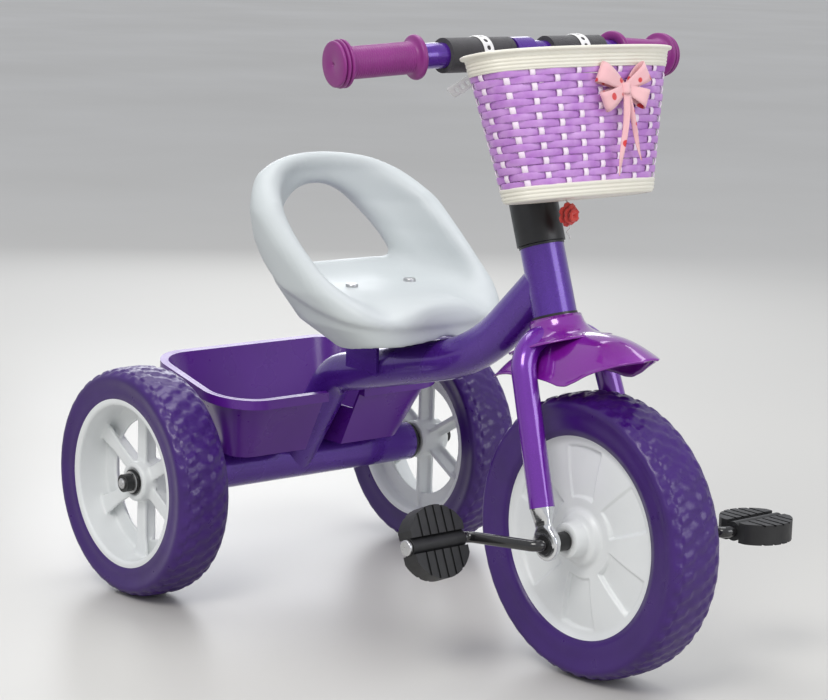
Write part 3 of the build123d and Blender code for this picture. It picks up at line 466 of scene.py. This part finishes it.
# ---------------------------------------------------------------- tyres
def make_tyre(node, body, disc, knobs, bead):
    """A moulded foam tyre: smooth bulging walls and a tread of staggered round knobs."""
    centre = middle(node)
    half = half_size(node)
    radius, half_width = half.z / MM, half.y / MM
    rim = half_size(disc).z / MM
    tread_depth, row_pitch = 1.35, 13.0
    steps, rows = knobs * 8, 64
    turns = np.linspace(0, 2 * math.pi, steps, endpoint=False)
    sweep = np.linspace(0, math.pi, rows)
    bulge = np.sin(sweep)
    lean = np.abs(np.cos(sweep))
    # The section has square shoulders and walls that draw in to the bead.
    side = 1.08 * lean ** 0.62 * (1 - 0.18 * lean ** 14) * half_width
    side = -np.sign(np.cos(sweep)) * np.minimum(side, half_width)
    out = rim + bead - 1 + (radius - rim - bead + 1) * bulge ** 0.50
    along_row = side[:, None] / row_pitch * math.pi + 0 * turns[None, :]
    knob = np.cos(turns[None, :] * knobs + 0.5 * np.sin(along_row)) * np.cos(along_row)
    raised = smooth_step(knob, -0.10, 0.20)
    in_tread = 1 - smooth_step(np.abs(side), half_width * 0.80, half_width * 0.97)
    in_tread = in_tread * smooth_step(bulge, 0.40, 0.65)
    drop = tread_depth * in_tread[:, None] * (1 - raised)
    radii = out[:, None] - drop * (0.35 + 0.65 * bulge[:, None])
    inset = side[:, None] * (1 - 0.35 * drop / half_width)
    points = np.stack([radii * np.cos(turns), inset + 0 * turns, radii * np.sin(turns)], -1)
    bead_radius, bead_side = rim - 2.0, half_width * 0.80
    for y in (bead_side, -bead_side):
        ring = np.stack([bead_radius * np.cos(turns), y + 0 * turns, bead_radius * np.sin(turns)], -1)
        points = np.concatenate([points, ring[None]])
    points = points.reshape(-1, 3) * MM + np.array(centre)
    faces = grid_faces(rows + 2, steps, loop_rows=True)
    return add_piece(node + "_tread", points, faces, body, tyre_foam, (node,))


make_tyre("front_tyre", "front_wheel", "front_disc_right", 46, 6.0)
make_tyre("rear_tyre_right", "rear_right_wheel", "rear_wheel_right", 40, 3.0)
make_tyre("rear_tyre_left", "rear_left_wheel", "rear_wheel_left", 40, 3.0)


# ---------------------------------------------------------------- wheels
def make_front_disc(side, name):
    """Half of the front wheel: a rolled rim lip, a dished face with six pockets and a hub boss."""
    low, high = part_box(name)
    rim = half_size(name).z / MM
    hub_end = max(abs(low.y), abs(high.y)) / MM
    lip, face, bore = 24.6, 18.5, 6.0
    hub_part = [
        (hub_end, bore), (hub_end, 14.2), (hub_end - 0.8, 15.2), (face + 7.0, 15.6), (face + 5.4, 17.2),
        (face + 5.0, 20.5), (face + 4.2, 22.6), (face + 1.6, 24.0), (face + 0.6, 25.4), (face + 0.3, 27.0),
    ]
    dish = [(face + 0.3 + 1.6 * math.sin(math.pi * (r - 28) / 54), float(r)) for r in np.arange(28, 82, 1.0)]
    rim_part = [
        (face + 0.4, 82.5), (face + 1.0, 85.5), (face + 2.6, 88.0), (lip - 1.6, 89.6), (lip - 0.4, 91.2),
        (lip + 0.3, 93.0), (lip + 0.2, 95.2), (lip - 0.5, 97.2), (lip - 2.4, 97.8), (lip - 4.4, 96.0),
        (lip - 5.0, rim), (4.0, rim - 0.3), (0.3, rim - 0.3),
        (0.3, rim - 4.0), (face - 4.0, rim - 6.0), (face - 4.5, 28.0), (face - 4.5, bore),
    ]
    profile = hub_part + dish + rim_part
    steps = 420
    points = turned(profile, (0, 0, 0), (0, side, 0), steps).reshape(len(profile), steps, 3) / MM
    x, z = points[:, :, 0], points[:, :, 2]
    radius = np.hypot(x, z)
    angle = np.degrees(np.arctan2(x, z))
    pocket_angle = 60
    off_centre = (angle + pocket_angle / 2) % pocket_angle - pocket_angle / 2
    across = np.radians(off_centre) * radius
    pocket_start, pocket_end, pocket_depth = 36.0, 80.0, 4.6
    half_width = 12.5 + 0.17 * (radius - pocket_start)
    inside = smooth_step(radius, pocket_start - 1.2, pocket_start + 1.2)
    inside = inside * (1 - smooth_step(radius, pocket_end - 1.2, pocket_end + 1.2))
    inside = inside * (1 - smooth_step(np.abs(across), half_width - 1.0, half_width + 1.0))
    ramp = 0.35 + 0.65 * np.clip((across / half_width + 1) / 2, 0, 1)
    row = np.arange(len(profile))
    on_face = (row >= len(hub_part) - 1) & (row < len(hub_part) + len(dish))
    sunk = inside * ramp * pocket_depth * on_face[:, None]
    points[:, :, 1] -= side * sunk
    points = points.reshape(-1, 3) * MM + np.array(front_axle)
    faces = grid_faces(len(profile), steps, loop_rows=True)
    return add_piece(name + "_face", points, faces, "front_wheel", wheel_plastic, (name,))


make_front_disc(-1, "front_disc_right")
make_front_disc(1, "front_disc_left")


def make_rear_wheel(side, name, body):
    """A deep wheel: a barrel with a rolled lip, six T-section spokes and a ringed hub."""
    centre = middle(name)
    barrel_half = half_size(name).y / MM
    rim = half_size(name).z / MM
    hub = (middle("rear_wheel_bushes_" + name.split("_")[-1]).y - centre.y) / MM
    inner = rim - 4.5
    bore_radius, hub_radius, hub_half = 9.2, 19.0, 17.0
    dish_start, spoke_half = 58.0, 6.6

    def field(x, y, z):
        radius = np.hypot(x, z)
        outward = y * side
        barrel = np.maximum(np.abs(radius - (inner + rim) / 2) - 2.2, np.abs(y) - barrel_half)
        lip = np.hypot(np.maximum(np.abs(radius - (rim + 0.6)) - 2.4, 0), np.abs(outward - barrel_half)) - 1.9
        back_lip = np.hypot(np.maximum(np.abs(radius - rim) - 1.5, 0), np.abs(outward + barrel_half)) - 1.5
        shape = smooth_min(np.minimum(barrel, back_lip), lip, 2.5)
        depth = outward - hub * side
        core = np.maximum(radius - hub_radius, np.abs(depth) - hub_half + 2.0)
        collar = np.maximum(np.abs(radius - 15.6) - 2.4, np.abs(depth) - hub_half)
        across_dish = np.abs(radius - (dish_start + inner) / 2) - (inner - dish_start) / 2
        dish = np.maximum(across_dish, np.abs(depth + 3.0) - 1.6)
        angle = np.arctan2(x, z)
        wedge = (angle + math.pi / 6) % (math.pi / 3) - math.pi / 6
        across, along = np.sin(wedge) * radius, np.cos(wedge) * radius
        web = np.maximum(np.abs(across) - 2.0, np.abs(depth + 1) - 7.5)
        flare = spoke_half + 2.6 * smooth_step(along, 46, 76)
        plate = np.maximum(np.abs(across) - flare, np.abs(depth - 6.0) - 1.8)
        spoke = np.maximum(smooth_min(web, plate, 2.0), np.maximum(along - inner - 1, 8 - along))
        shape = smooth_min(shape, dish, 2.5)
        shape = smooth_min(shape, smooth_min(smooth_min(core, collar, 1.5), spoke, 3.5), 3.0)
        return np.maximum(shape, bore_radius - radius)

    margin, voxel = 6, 1.25
    reach = rim + margin
    place = np.array(centre) / MM
    low = place + np.array((-reach, -barrel_half - margin, -reach))
    high = place + np.array((reach, barrel_half + margin, reach))

    def placed(x, y, z):
        return field(x - place[0], y - place[1], z - place[2])

    return field_piece(
        name + "_spoked", placed, low, high, voxel, body, wheel_plastic, (name,), relax=3
    )


make_rear_wheel(-1, "rear_wheel_right", "rear_right_wheel")
make_rear_wheel(1, "rear_wheel_left", "rear_left_wheel")


# ---------------------------------------------------------------- seat
def make_seat():
    """A blow-moulded bucket seat: a ring back with a window, a soft rim, a pommel and a hollow skirt."""
    heights = [245, 256, 275, 305, 344, 370, 400, 425]
    backs = [-84, -99, -136, -166, -196, -204, -205, -196]
    widths = [70, 78, 94, 105, 110, 112, 110, 104]
    squareness = [3.0, 3.0, 3.0, 2.9, 2.6, 2.5, 2.3, 2.1]
    crest_x = [-225, -201, -176, -159, -130, -106, -82, -59, -36, -23, -7, 16, 34]
    crest_z = [425, 423, 417, 409, 393, 374, 356, 339, 324, 316, 309, 302, 296]
    pan = 303.0
    rim_wall = 20.0
    seat_shift = 7.75
    beam_slope = 0.2402
    beam_cosine = 0.972
    beam_under_seat = 244.7
    beam_clearance_radius = 21.5
    wall = 5.5

    def outline(x, y, z, inset, front):
        back = np.interp(z, heights, backs) + inset
        half = np.interp(z, heights, widths) - inset
        power = np.interp(z, heights, squareness)
        centre, reach = (front + back) / 2, (front - back) / 2
        size = (np.abs((x - centre) / reach) ** power + np.abs(y / half) ** power) ** (1 / power)
        return (size - 1) * np.minimum(reach, half) * 0.92

    def field(x, y, z):
        aside = np.abs(y)
        x = x + seat_shift
        thigh = np.exp(-(((aside - 56) / 24) ** 2)) * smooth_step(x, -80, 5)
        crest = np.interp(x, crest_x, crest_z) - 16 * (aside / 105) ** 2 - 10 * thigh
        skirt = 252 + 7 * smooth_step(x, -60, 0) + 6 * np.exp(-((aside / 42) ** 2)) * smooth_step(x, -60, 0)
        front = 17 - 0.10 * (z - 262)
        crease = np.interp(x, [-200, -138, -108, -65, -24, 8], [368, 326, 309, 295, 286, 282])
        outer = outline(x, y, z, 0, front) + 3.6 * smooth_step(crease - z, 0, 9)
        body = smooth_max(outer, (z - crest) * 0.8, 14)
        floor = pan - 10 * thigh
        bowl = smooth_max(outline(x, y, z, rim_wall, 70.0), floor - z, 26)
        body = smooth_max(body, -bowl, 13)
        window = (aside / 66) ** 2.1 + (np.maximum(z - 316, 0) / 69) ** 1.8
        window = (np.maximum(window, 1e-6) ** 0.5 - 1) * 60
        window = smooth_max(window, 318 - z, 10)
        window = np.maximum(window, x + 112)
        shell = smooth_max(body, -window, 11)
        shell = smooth_max(shell, skirt - z, 2.5)
        hollow = smooth_max(body + wall, z - 306, 6)
        shell = smooth_max(shell, -hollow, 2.5)
        beam_z = beam_under_seat + beam_slope * (x - seat_shift)
        beam = np.hypot(y, (z - beam_z) * beam_cosine) - beam_clearance_radius
        return smooth_max(shell, -beam, 2.0)

    low, high, voxel = (-224, -122, 238), (18, 122, 432), 2.3
    return field_piece(
        "seat_shell", field, low, high, voxel, "frame", seat_plastic, ("seat",), relax=4
    )


make_seat()


# ---------------------------------------------------------------- fender
def make_fender():
    """A pressed visor over the front wheel, with a rolled edge."""
    rise, half_width, crown = 49.0, 39.0, 175.0
    centre = crown - rise
    edge_degrees = [-27, -22, -14, -8, 4, 13, 17, 22, 28, 33, 36.5, 38.5]
    edge_radius = [172, 165, 155, 147, 138, 132, 132.5, 139, 152, 163.5, 171, 174.7]
    smooth_degrees = np.linspace(-32, 44, 400)
    smooth_radius = np.interp(smooth_degrees, edge_degrees, edge_radius)
    kernel = np.exp(-(np.linspace(-2.2, 2.2, 25) ** 2))
    smooth_radius = np.convolve(np.pad(smooth_radius, 12, mode="edge"), kernel / kernel.sum(), mode="valid")
    stations = np.linspace(-26.5, 38.2, 90)
    columns = 49
    points = []
    for degrees in stations:
        lowest = min(np.interp(degrees, smooth_degrees, smooth_radius), crown - 0.25)
        spread = math.acos(max(-1.0, min(1.0, (lowest - centre) / rise)))
        angle = math.radians(degrees)
        direction = steer_forward * math.sin(angle) + steer_up * math.cos(angle)
        nose = smooth_step(degrees, 22, 38)
        for column in range(columns):
            share = 2 * column / (columns - 1) - 1
            turn = spread * share
            rolled = smooth_step(abs(share), 0.93, 1.0)
            y = (half_width + 2.5 * rolled * (1 - nose)) * math.sin(turn)
            radius = centre + rise * math.cos(turn) + 1.2 * rolled * (1 - nose) - 3.0 * nose
            points.append(front_axle + direction * radius * MM + left * y * MM)
    faces = grid_faces(len(stations), columns, loop_columns=False)
    piece = add_piece("fender_visor", points, faces, "steering", fender_paint, ("fender",))
    thicken(piece, 2.2, 1)


make_fender()


def make_collar():
    """The fender's neck: a thin cone from under the head tube out over the fork's crown."""
    top = steer_point(0, 0, 191.2)
    outer = [(0, 22.9), (3, 23.4), (7, 24.4), (11, 26.4)]
    outer += [(15, 29.8), (18.5, 34.5), (21, 40.0), (22.6, 46.0)]
    inner = [(along + 1.3, radius - 0.5) for along, radius in reversed(outer)]
    lathe("fender_collar", outer + inner, top, -steer_up, "steering", fender_paint)


make_collar()


# ---------------------------------------------------------------- dropouts
def make_dropout(name):
    """A fork leg's flattened end: round inside the leg, then a blade with a round eye."""
    box_low, box_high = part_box(name)
    axle = np.array(front_axle) / MM
    forward_way, up_way = np.array(steer_forward), np.array(steer_up)
    heights = [-20, 6, 14, 20, 26, 31, 50]
    half_widths = [8.8, 9.2, 9.4, 9.6, 10.2, 10.6, 10.6]
    half_depths = [3.0, 3.0, 3.1, 3.8, 7.4, 10.2, 10.6]
    eye_radius, hole_radius, from_middle = 14.2, 7.6, 58.5

    def field(x, y, z):
        x, z = x - axle[0], z - axle[2]
        forward = x * forward_way[0] + z * forward_way[2]
        up = x * up_way[0] + z * up_way[2]
        aside = np.abs(y) - from_middle + 2.0 * smooth_step(up, 16, 31)
        wide, deep = np.interp(up, heights, half_widths), np.interp(up, heights, half_depths)
        power = 2 + 2.0 * (1 - np.clip(deep / 10.5, 0, 1))
        size = (np.abs(forward / wide) ** power + np.abs(aside / deep) ** power) ** (1 / power)
        blade = np.maximum((size - 1) * np.minimum(wide, deep), np.maximum(-up, up - 40))
        radius = np.hypot(forward, up)
        eye = smooth_max(radius - eye_radius, np.abs(aside) - 3.0, 1.5)
        return smooth_max(smooth_min(blade, eye, 4.0), hole_radius - radius, 0.8)

    margin, voxel = 5, 0.8
    low = np.array(box_low) / MM - margin
    high = np.array(box_high) / MM + margin
    return field_piece(name + "_blade", field, low, high, voxel, "steering", chrome_plate, (name,))


make_dropout("dropout_right")
make_dropout("dropout_left")


# ---------------------------------------------------------------- grips
def make_grip(side, name):
    """A soft ribbed grip with a stepped end cap and an inner flange."""
    foam_middle = middle("foam_left" if side > 0 else "foam_right")
    sweep_back, sweep_down, bend_at, tip_at = 13.3, 6.0, 100.0, 191.0
    bar = Vector((foam_middle.x, 0, foam_middle.z))
    tip = bar + Vector((-sweep_back, side * tip_at, -sweep_down)) * MM
    inwards = (bar + Vector((0, side * bend_at, 0)) * MM - tip).normalized()
    profile = [(-0.6, 0.2), (-0.6, 1.2), (-3.0, 1.7), (-3.4, 2.4), (-3.4, 17.4), (-3.1, 18.8), (-2.3, 19.4)]
    profile += [(-0.9, 19.4), (-0.4, 17.0), (-0.2, 16.4), (0.3, 16.4), (0.5, 17.2), (0.9, 19.8), (1.6, 20.4)]
    profile += [(2.6, 20.4), (3.2, 19.6), (3.4, 16.6), (3.9, 16.4), (4.3, 17.0), (4.6, 19.6), (5.3, 20.4)]
    profile += [(6.6, 20.4), (7.3, 19.4), (7.6, 17.0), (8.2, 15.4), (9.2, 14.5), (10.4, 14.0)]
    rib_pitch = 2.2
    start, stop = 12.0, 71.0
    for along in np.arange(start, stop, rib_pitch / 4):
        profile.append((float(along), 13.55 + 0.30 * math.cos(2 * math.pi * (along - start) / rib_pitch)))
    profile += [(71.5, 14.0), (72.6, 14.8), (73.3, 16.8), (73.8, 18.2), (74.8, 19.0), (76.4, 19.3)]
    profile += [(78.0, 18.9), (78.9, 17.8), (79.0, 16.0), (79.0, 11.2), (70.0, 11.2), (2.0, 11.2), (1.0, 0.2)]
    return lathe(name + "_ribbed", profile, tip, inwards, "steering", grip_rubber, (name,), 96)


make_grip(-1, "grip_right")
make_grip(1, "grip_left")


# ---------------------------------------------------------------- basket
basket_pitch = math.radians(12)
basket_forward = Vector((math.cos(basket_pitch), 0, math.sin(basket_pitch)))
basket_up = Vector((-math.sin(basket_pitch), 0, math.cos(basket_pitch)))
basket_height = 125.0
basket_rim_size = (39.0, 106.5)
basket_base_size = (31.0, 77.0)
basket_shift = -5.0
basket_squareness = 2.7
band_points = 180
basket_centre = Vector((middle("foam_right").x, 0, middle("foam_right").z)) + Vector((62.6, 0, 5.6)) * MM


def basket_loop(drop, outset, count):
    """A rounded outline round the basket, a drop below its rim and an outset from its wall, in millimetres."""
    share = drop / basket_height
    depth = basket_rim_size[0] + share * (basket_base_size[0] - basket_rim_size[0])
    width = basket_rim_size[1] + share * (basket_base_size[1] - basket_rim_size[1])
    turns = np.linspace(0, 2 * math.pi, 1441)
    forward = depth * np.sign(np.cos(turns)) * np.abs(np.cos(turns)) ** (2 / basket_squareness)
    aside = width * np.sign(np.sin(turns)) * np.abs(np.sin(turns)) ** (2 / basket_squareness)
    length = np.concatenate([[0], np.cumsum(np.hypot(np.diff(forward), np.diff(aside)))])
    even = np.linspace(0, length[-1], count, endpoint=False)
    forward, aside = np.interp(even, length, forward), np.interp(even, length, aside)
    along_f = np.roll(forward, -1) - np.roll(forward, 1)
    along_a = np.roll(aside, -1) - np.roll(aside, 1)
    size = np.hypot(along_f, along_a)
    outset = np.broadcast_to(outset, forward.shape)
    forward = forward + outset * along_a / size + share * basket_shift
    aside = aside - outset * along_f / size
    points = np.array(basket_centre)[None] + MM * (
        forward[:, None] * np.array(basket_forward)
        + aside[:, None] * np.array(left)
        - np.broadcast_to(drop, forward.shape)[:, None] * np.array(basket_up)
    )
    return points


def basket_ring(name, section, node):
    """A closed moulded band in a node's place, whose section is a list of (drop, outset) pairs."""
    points = np.concatenate([basket_loop(drop, outset, band_points) for drop, outset in section])
    faces = grid_faces(len(section), band_points, loop_rows=True)
    return add_piece(name, points, faces, "steering", basket_ivory, (node,))


def make_basket_bands():
    """The ribbed bands round the basket's rim and base."""
    rim_section = [(0.6, -1.2), (0.0, 0.4), (0.0, 2.6), (0.6, 4.2)]
    rim_section += [(1.8, 4.7), (2.9, 4.2), (3.4, 2.6), (3.9, 1.5)]
    for step in range(4):
        start = 4.6 + step * 3.0
        rim_section += [(start, 1.35), (start + 1.9, 1.35), (start + 2.3, 0.75), (start + 2.7, 0.75)]
    rim_section += [(17.0, 1.2), (17.6, 0.2), (17.6, -1.8), (16.0, -2.6), (3.0, -2.6), (1.2, -2.2)]
    basket_ring("basket_rim_band", rim_section, "basket_rim")
    base_section = [(112.6, -1.6), (112.6, 0.2), (113.2, 1.2)]
    for step in range(3):
        start = 113.8 + step * 3.2
        base_section += [(start, 1.3), (start + 2.0, 1.3), (start + 2.4, 0.7), (start + 2.8, 0.7)]
    base_section += [(123.6, 1.0), (125.0, -0.6), (125.0, -4.0), (122.0, -4.2), (121.0, -3.4), (114.0, -2.6)]
    basket_ring("basket_base_band", base_section, "basket_base")


def make_basket_floor():
    """The basket's closed floor: rings from its middle out over the top and back in underneath."""
    top_drop, under_drop, inset = 122.2, 124.8, -2.0
    shares = (1.0, 0.75, 0.5, 0.25, 0.02)
    rings = []
    for drop, ring_shares in ((top_drop, reversed(shares)), (under_drop, shares)):
        edge = basket_loop(drop, inset, band_points)
        centre = edge.mean(0)
        rings += [centre + (edge - centre) * share for share in ring_shares]
    faces = grid_faces(len(rings), band_points)
    faces.append(tuple(range(band_points)))
    faces.append(tuple(range((len(rings) - 1) * band_points, len(rings) * band_points)))
    add_piece("basket_floor_plate", np.concatenate(rings), faces, "steering", basket_ivory)


make_basket_bands()
make_basket_floor()

slat_count = 20
weave_top, weave_bottom, band_count = 16.5, 114.0, 16
band_pitch = (weave_bottom - weave_top) / band_count


def make_weave():
    """Lilac bands that pass in front of and behind the slats in turn, as a plaited wall."""
    per_slat = 14
    count = slat_count * per_slat
    phase = np.arange(count) / per_slat
    rng = np.random.default_rng(7)
    parts = []
    for band in range(band_count):
        swing = 1.15 * np.cos(math.pi * (phase + band)) + 0.25 * np.sin(phase * 2.1 + rng.uniform(0, 6))
        middle_drop = weave_top + (band + 0.5) * band_pitch
        half = band_pitch / 2 + 0.02
        sag = 0.35 * np.sin(phase * math.pi * 2 / 5 + rng.uniform(0, 6))
        section = [(-half, 0.2), (-half * 0.8, 0.48), (0, 0.58), (half * 0.8, 0.48), (half, 0.2)]
        section += [(half * 0.7, -0.45), (-half * 0.7, -0.45)]
        rows = [basket_loop(middle_drop + down, swing + out - 1.0, count) for down, out in section]
        rows = [row - np.outer(sag, np.array(basket_up)) * MM for row in rows]
        parts.append((np.concatenate(rows), grid_faces(len(section), count, loop_rows=True)))
    points, faces = joined(parts)
    add_piece("basket_bands", points, faces, "steering", basket_lilac, ("basket_weave",))


def make_slats():
    """Upright slats that pass behind and in front of the bands."""
    samples, fine = 60, 1440
    half_width = 2.7
    edge_half = half_width * 0.7
    section = [(-half_width, 0.0), (-edge_half, 0.7), (edge_half, 0.7)]
    section += [(half_width, 0.0), (edge_half, -0.6), (-edge_half, -0.6)]
    drops = np.linspace(weave_top - 2, weave_bottom + 1, samples)
    parts = []
    loops = [basket_loop(drop, -1.0, fine) for drop in drops]
    for slat in range(slat_count):
        block = []
        at = int(round(slat * fine / slat_count))
        for loop, drop in zip(loops, drops):
            spot = loop[at]
            along = Vector(loop[(at + 4) % fine] - loop[at - 4]).normalized()
            outward = along.cross(basket_up).normalized()
            if outward.dot(Vector(spot) - basket_centre) < 0:
                outward = -outward
            swing = -1.0 * math.cos(math.pi * (slat + (drop - weave_top) / band_pitch - 0.5))
            for aside, out in section:
                block.append(Vector(spot) + along * aside * MM + outward * (swing + out) * MM)
        sides = len(section)
        ends = [tuple(range(sides)), tuple(range((samples - 1) * sides, samples * sides))]
        parts.append((block, grid_faces(samples, sides) + ends))
    points, faces = joined(parts)
    add_piece("basket_slats", points, faces, "steering", basket_pink)


make_weave()
make_slats()


# ---------------------------------------------------------------- ribbon, rosette and straps
def ribbon_strip(path, widths, wide, thickness=0.35):
    """A thin closed strip along a path of points, each with its own width direction, in millimetres."""
    points = []
    count = len(path)
    cup = 0.06
    shares = (-1, -0.5, 0, 0.5, 1)
    for i, (spot, half) in enumerate(zip(path, widths)):
        ahead = path[min(i + 1, count - 1)] - path[max(i - 1, 0)]
        across = wide[i] if isinstance(wide, list) else wide
        normal = ahead.cross(across).normalized() * thickness
        across = across.normalized()
        for share in shares:
            points.append(spot + across * half * share + normal * (1 + cup * half * (1 - share * share)))
        for share in reversed(shares):
            points.append(spot + across * half * share - normal * (1 - cup * half * (1 - share * share)))
    around = 2 * len(shares)
    faces = grid_faces(count, around)
    faces.append(tuple(range(around)))
    faces.append(tuple(range((count - 1) * around, count * around)))
    return points, faces


def make_bow():
    """A spotted ribbon bow: four loops, a knot and two thin tails on the front of the basket."""
    drop, side = 37.0, 23.0
    share = drop / basket_height
    depth = basket_rim_size[0] + share * (basket_base_size[0] - basket_rim_size[0] + basket_shift)
    bend = 1 - (abs(side) / basket_rim_size[1]) ** basket_squareness
    ahead = depth * bend ** (1 / basket_squareness) + 4.5
    knot = basket_centre + (basket_forward * ahead + left * side - basket_up * drop) * MM
    out = (basket_forward - basket_up * 0.10).normalized()
    knot_half = 3.0
    parts = []
    loops = ((152, 32, 9.5), (203, 29, 9.0), (28, 31, 9.0), (-24, 26, 8.5))
    for angle, length, half in loops:
        turn = math.radians(angle)
        direction = left * math.cos(turn) + basket_up * math.sin(turn)
        across = direction.cross(out)
        path, widths = [], []
        for step in range(25):
            t = step / 24
            reach = length * math.sin(math.pi * t) ** 0.8
            lift = 4.2 * math.sin(2 * math.pi * t) + 1.6
            path.append(knot + (direction * reach + out * lift) * MM)
            widths.append((knot_half + (half - knot_half) * math.sin(math.pi * t) ** 0.7) * MM)
        parts.append(ribbon_strip(path, widths, across, 0.3 * MM))
    tails = ((0.34, 74, 3.2), (-0.42, 62, 2.8))
    for lean, length, half in tails:
        path, widths = [], []
        for step in range(31):
            t = step / 30
            slip = lean * length * t ** 1.3 * 0.55
            lift = 2.6 - 3.6 * t + 1.6 * math.sin(5 * t)
            path.append(knot + (-left * slip - basket_up * length * t + out * lift) * MM)
            widths.append((half * (1 - 0.35 * t)) * MM)
        twists = [0.9 * math.sin(4 * i / 30) for i in range(31)]
        wide = [left * math.cos(twist) + out * math.sin(twist) for twist in twists]
        parts.append(ribbon_strip(path, widths, wide, 0.3 * MM))
    path, widths = [], []
    for step in range(17):
        turn = 2 * math.pi * step / 16
        path.append(knot + (left * 4.2 * math.cos(turn) + out * (2.2 + 3.0 * math.sin(turn))) * MM)
        widths.append(4.6 * MM)
    parts.append(ribbon_strip(path, widths, basket_up, 0.4 * MM))
    points, faces = joined(parts)
    piece = add_piece("ribbon_bow", points, faces, "steering", ribbon_satin, ("bow",))
    return piece


make_bow()


def make_rosette():
    """A small gathered felt flower that hangs under the basket on a thread."""
    centre = middle("ribbon_rosette")
    face_out = Vector((1, 0, 0))
    layers = ((7, 10.5, 0.0), (6, 8.0, 4.0), (4, 5.0, 7.5))
    parts = []
    for ring, (petals, reach, rise) in enumerate(layers):
        for petal in range(petals):
            turn = 2 * math.pi * (petal + 0.5 * ring) / petals
            direction = left * math.cos(turn) + Vector((0, 0, 1)) * math.sin(turn)
            across = direction.cross(face_out)
            path, widths = [], []
            for step in range(11):
                t = step / 10
                lift = rise + 3.0 * math.sin(2.4 * t)
                path.append(centre + (direction * reach * t + face_out * lift) * MM)
                widths.append((0.8 + 4.6 * math.sin(math.pi * (0.12 + 0.80 * t))) * MM)
            parts.append(ribbon_strip(path, widths, across, 0.5 * MM))
    points, faces = joined(parts)
    add_piece("felt_rosette", points, faces, "steering", rosette_felt, ("ribbon_rosette",))
    path = [centre + Vector((3, 1 + 2.0 * math.sin(i * 0.8), -9.0 - i * 1.1)) * MM for i in range(12)]
    points, faces = ribbon_strip(path, [0.5 * MM] * len(path), left, 0.4 * MM)
    add_piece("rosette_thread", points, faces, "steering", thread_white)
    path = [centre + Vector((0.5, 0, 6.0 + i * 1.0)) * MM for i in range(9)]
    points, faces = ribbon_strip(path, [0.6 * MM] * len(path), left, 0.5 * MM)
    add_piece("rosette_hanger", points, faces, "steering", thread_white)


make_rosette()


def make_strap(name, tail):
    """A soft strap with a row of slots: round the foam sleeve, with its tongue in the basket's wall."""
    low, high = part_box(name)
    bar = middle("foam_right")
    spot = Vector((bar.x, (low.y + high.y) / 2, bar.z))
    radius, thickness, half = 15.9, 1.5, 5.6
    wall = high.x - spot.x
    path = []
    for step in range(11):
        share = step / 10
        path.append(Vector((wall / MM * (1 - share) + 9.0 * share, 0, -10.0 + 0.6 * share)))
    first = math.atan2(-9.4, 12.8)
    for step in range(1, 37):
        turn = first + 2 * math.pi * 0.93 * step / 36
        path.append(Vector((radius * math.cos(turn), 0, radius * math.sin(turn))))
    tail_start = len(path) - 1
    if tail:
        end = path[-1]
        for step in range(1, 17):
            path.append(end + Vector((-2.8 * step, 0, -1.5 * step + 0.4 * math.sin(step * 0.5))))
    length = [0.0]
    for a, b in zip(path, path[1:]):
        length.append(length[-1] + (b - a).length)
    cell, bridge, slot_half = 7.6, 3.4, 2.0
    cells = int(length[-1] / cell)
    rails = (-half, -slot_half, slot_half, half)
    stations = []
    for i in range(cells):
        stations += [i * cell, i * cell + bridge]
    stations.append(cells * cell)
    points = []
    for at in stations:
        x = float(np.interp(at, length, [p.x for p in path]))
        z = float(np.interp(at, length, [p.z for p in path]))
        twist = float(smooth_step(at, length[tail_start] + 2, length[tail_start] + 26)) if tail else 0.0
        for aside in rails:
            turned_over = Vector((0.5 * math.sin(twist), math.cos(twist), -0.86 * math.sin(twist)))
            points.append(spot + (Vector((x, 0, z)) + turned_over * aside) * MM)
    faces = []
    for row in range(len(stations) - 1):
        for column in range(3):
            is_slot = column == 1 and row % 2 == 1 and 1 < row < len(stations) - 2
            if is_slot:
                continue
            at = row * len(rails) + column
            faces.append((at, at + 1, at + len(rails) + 1, at + len(rails)))
    piece = add_piece(name + "_slotted", points, faces, "steering", strap_plastic, (name,))
    thicken(piece, thickness, 2)


make_strap("strap_right", True)
make_strap("strap_left", False)
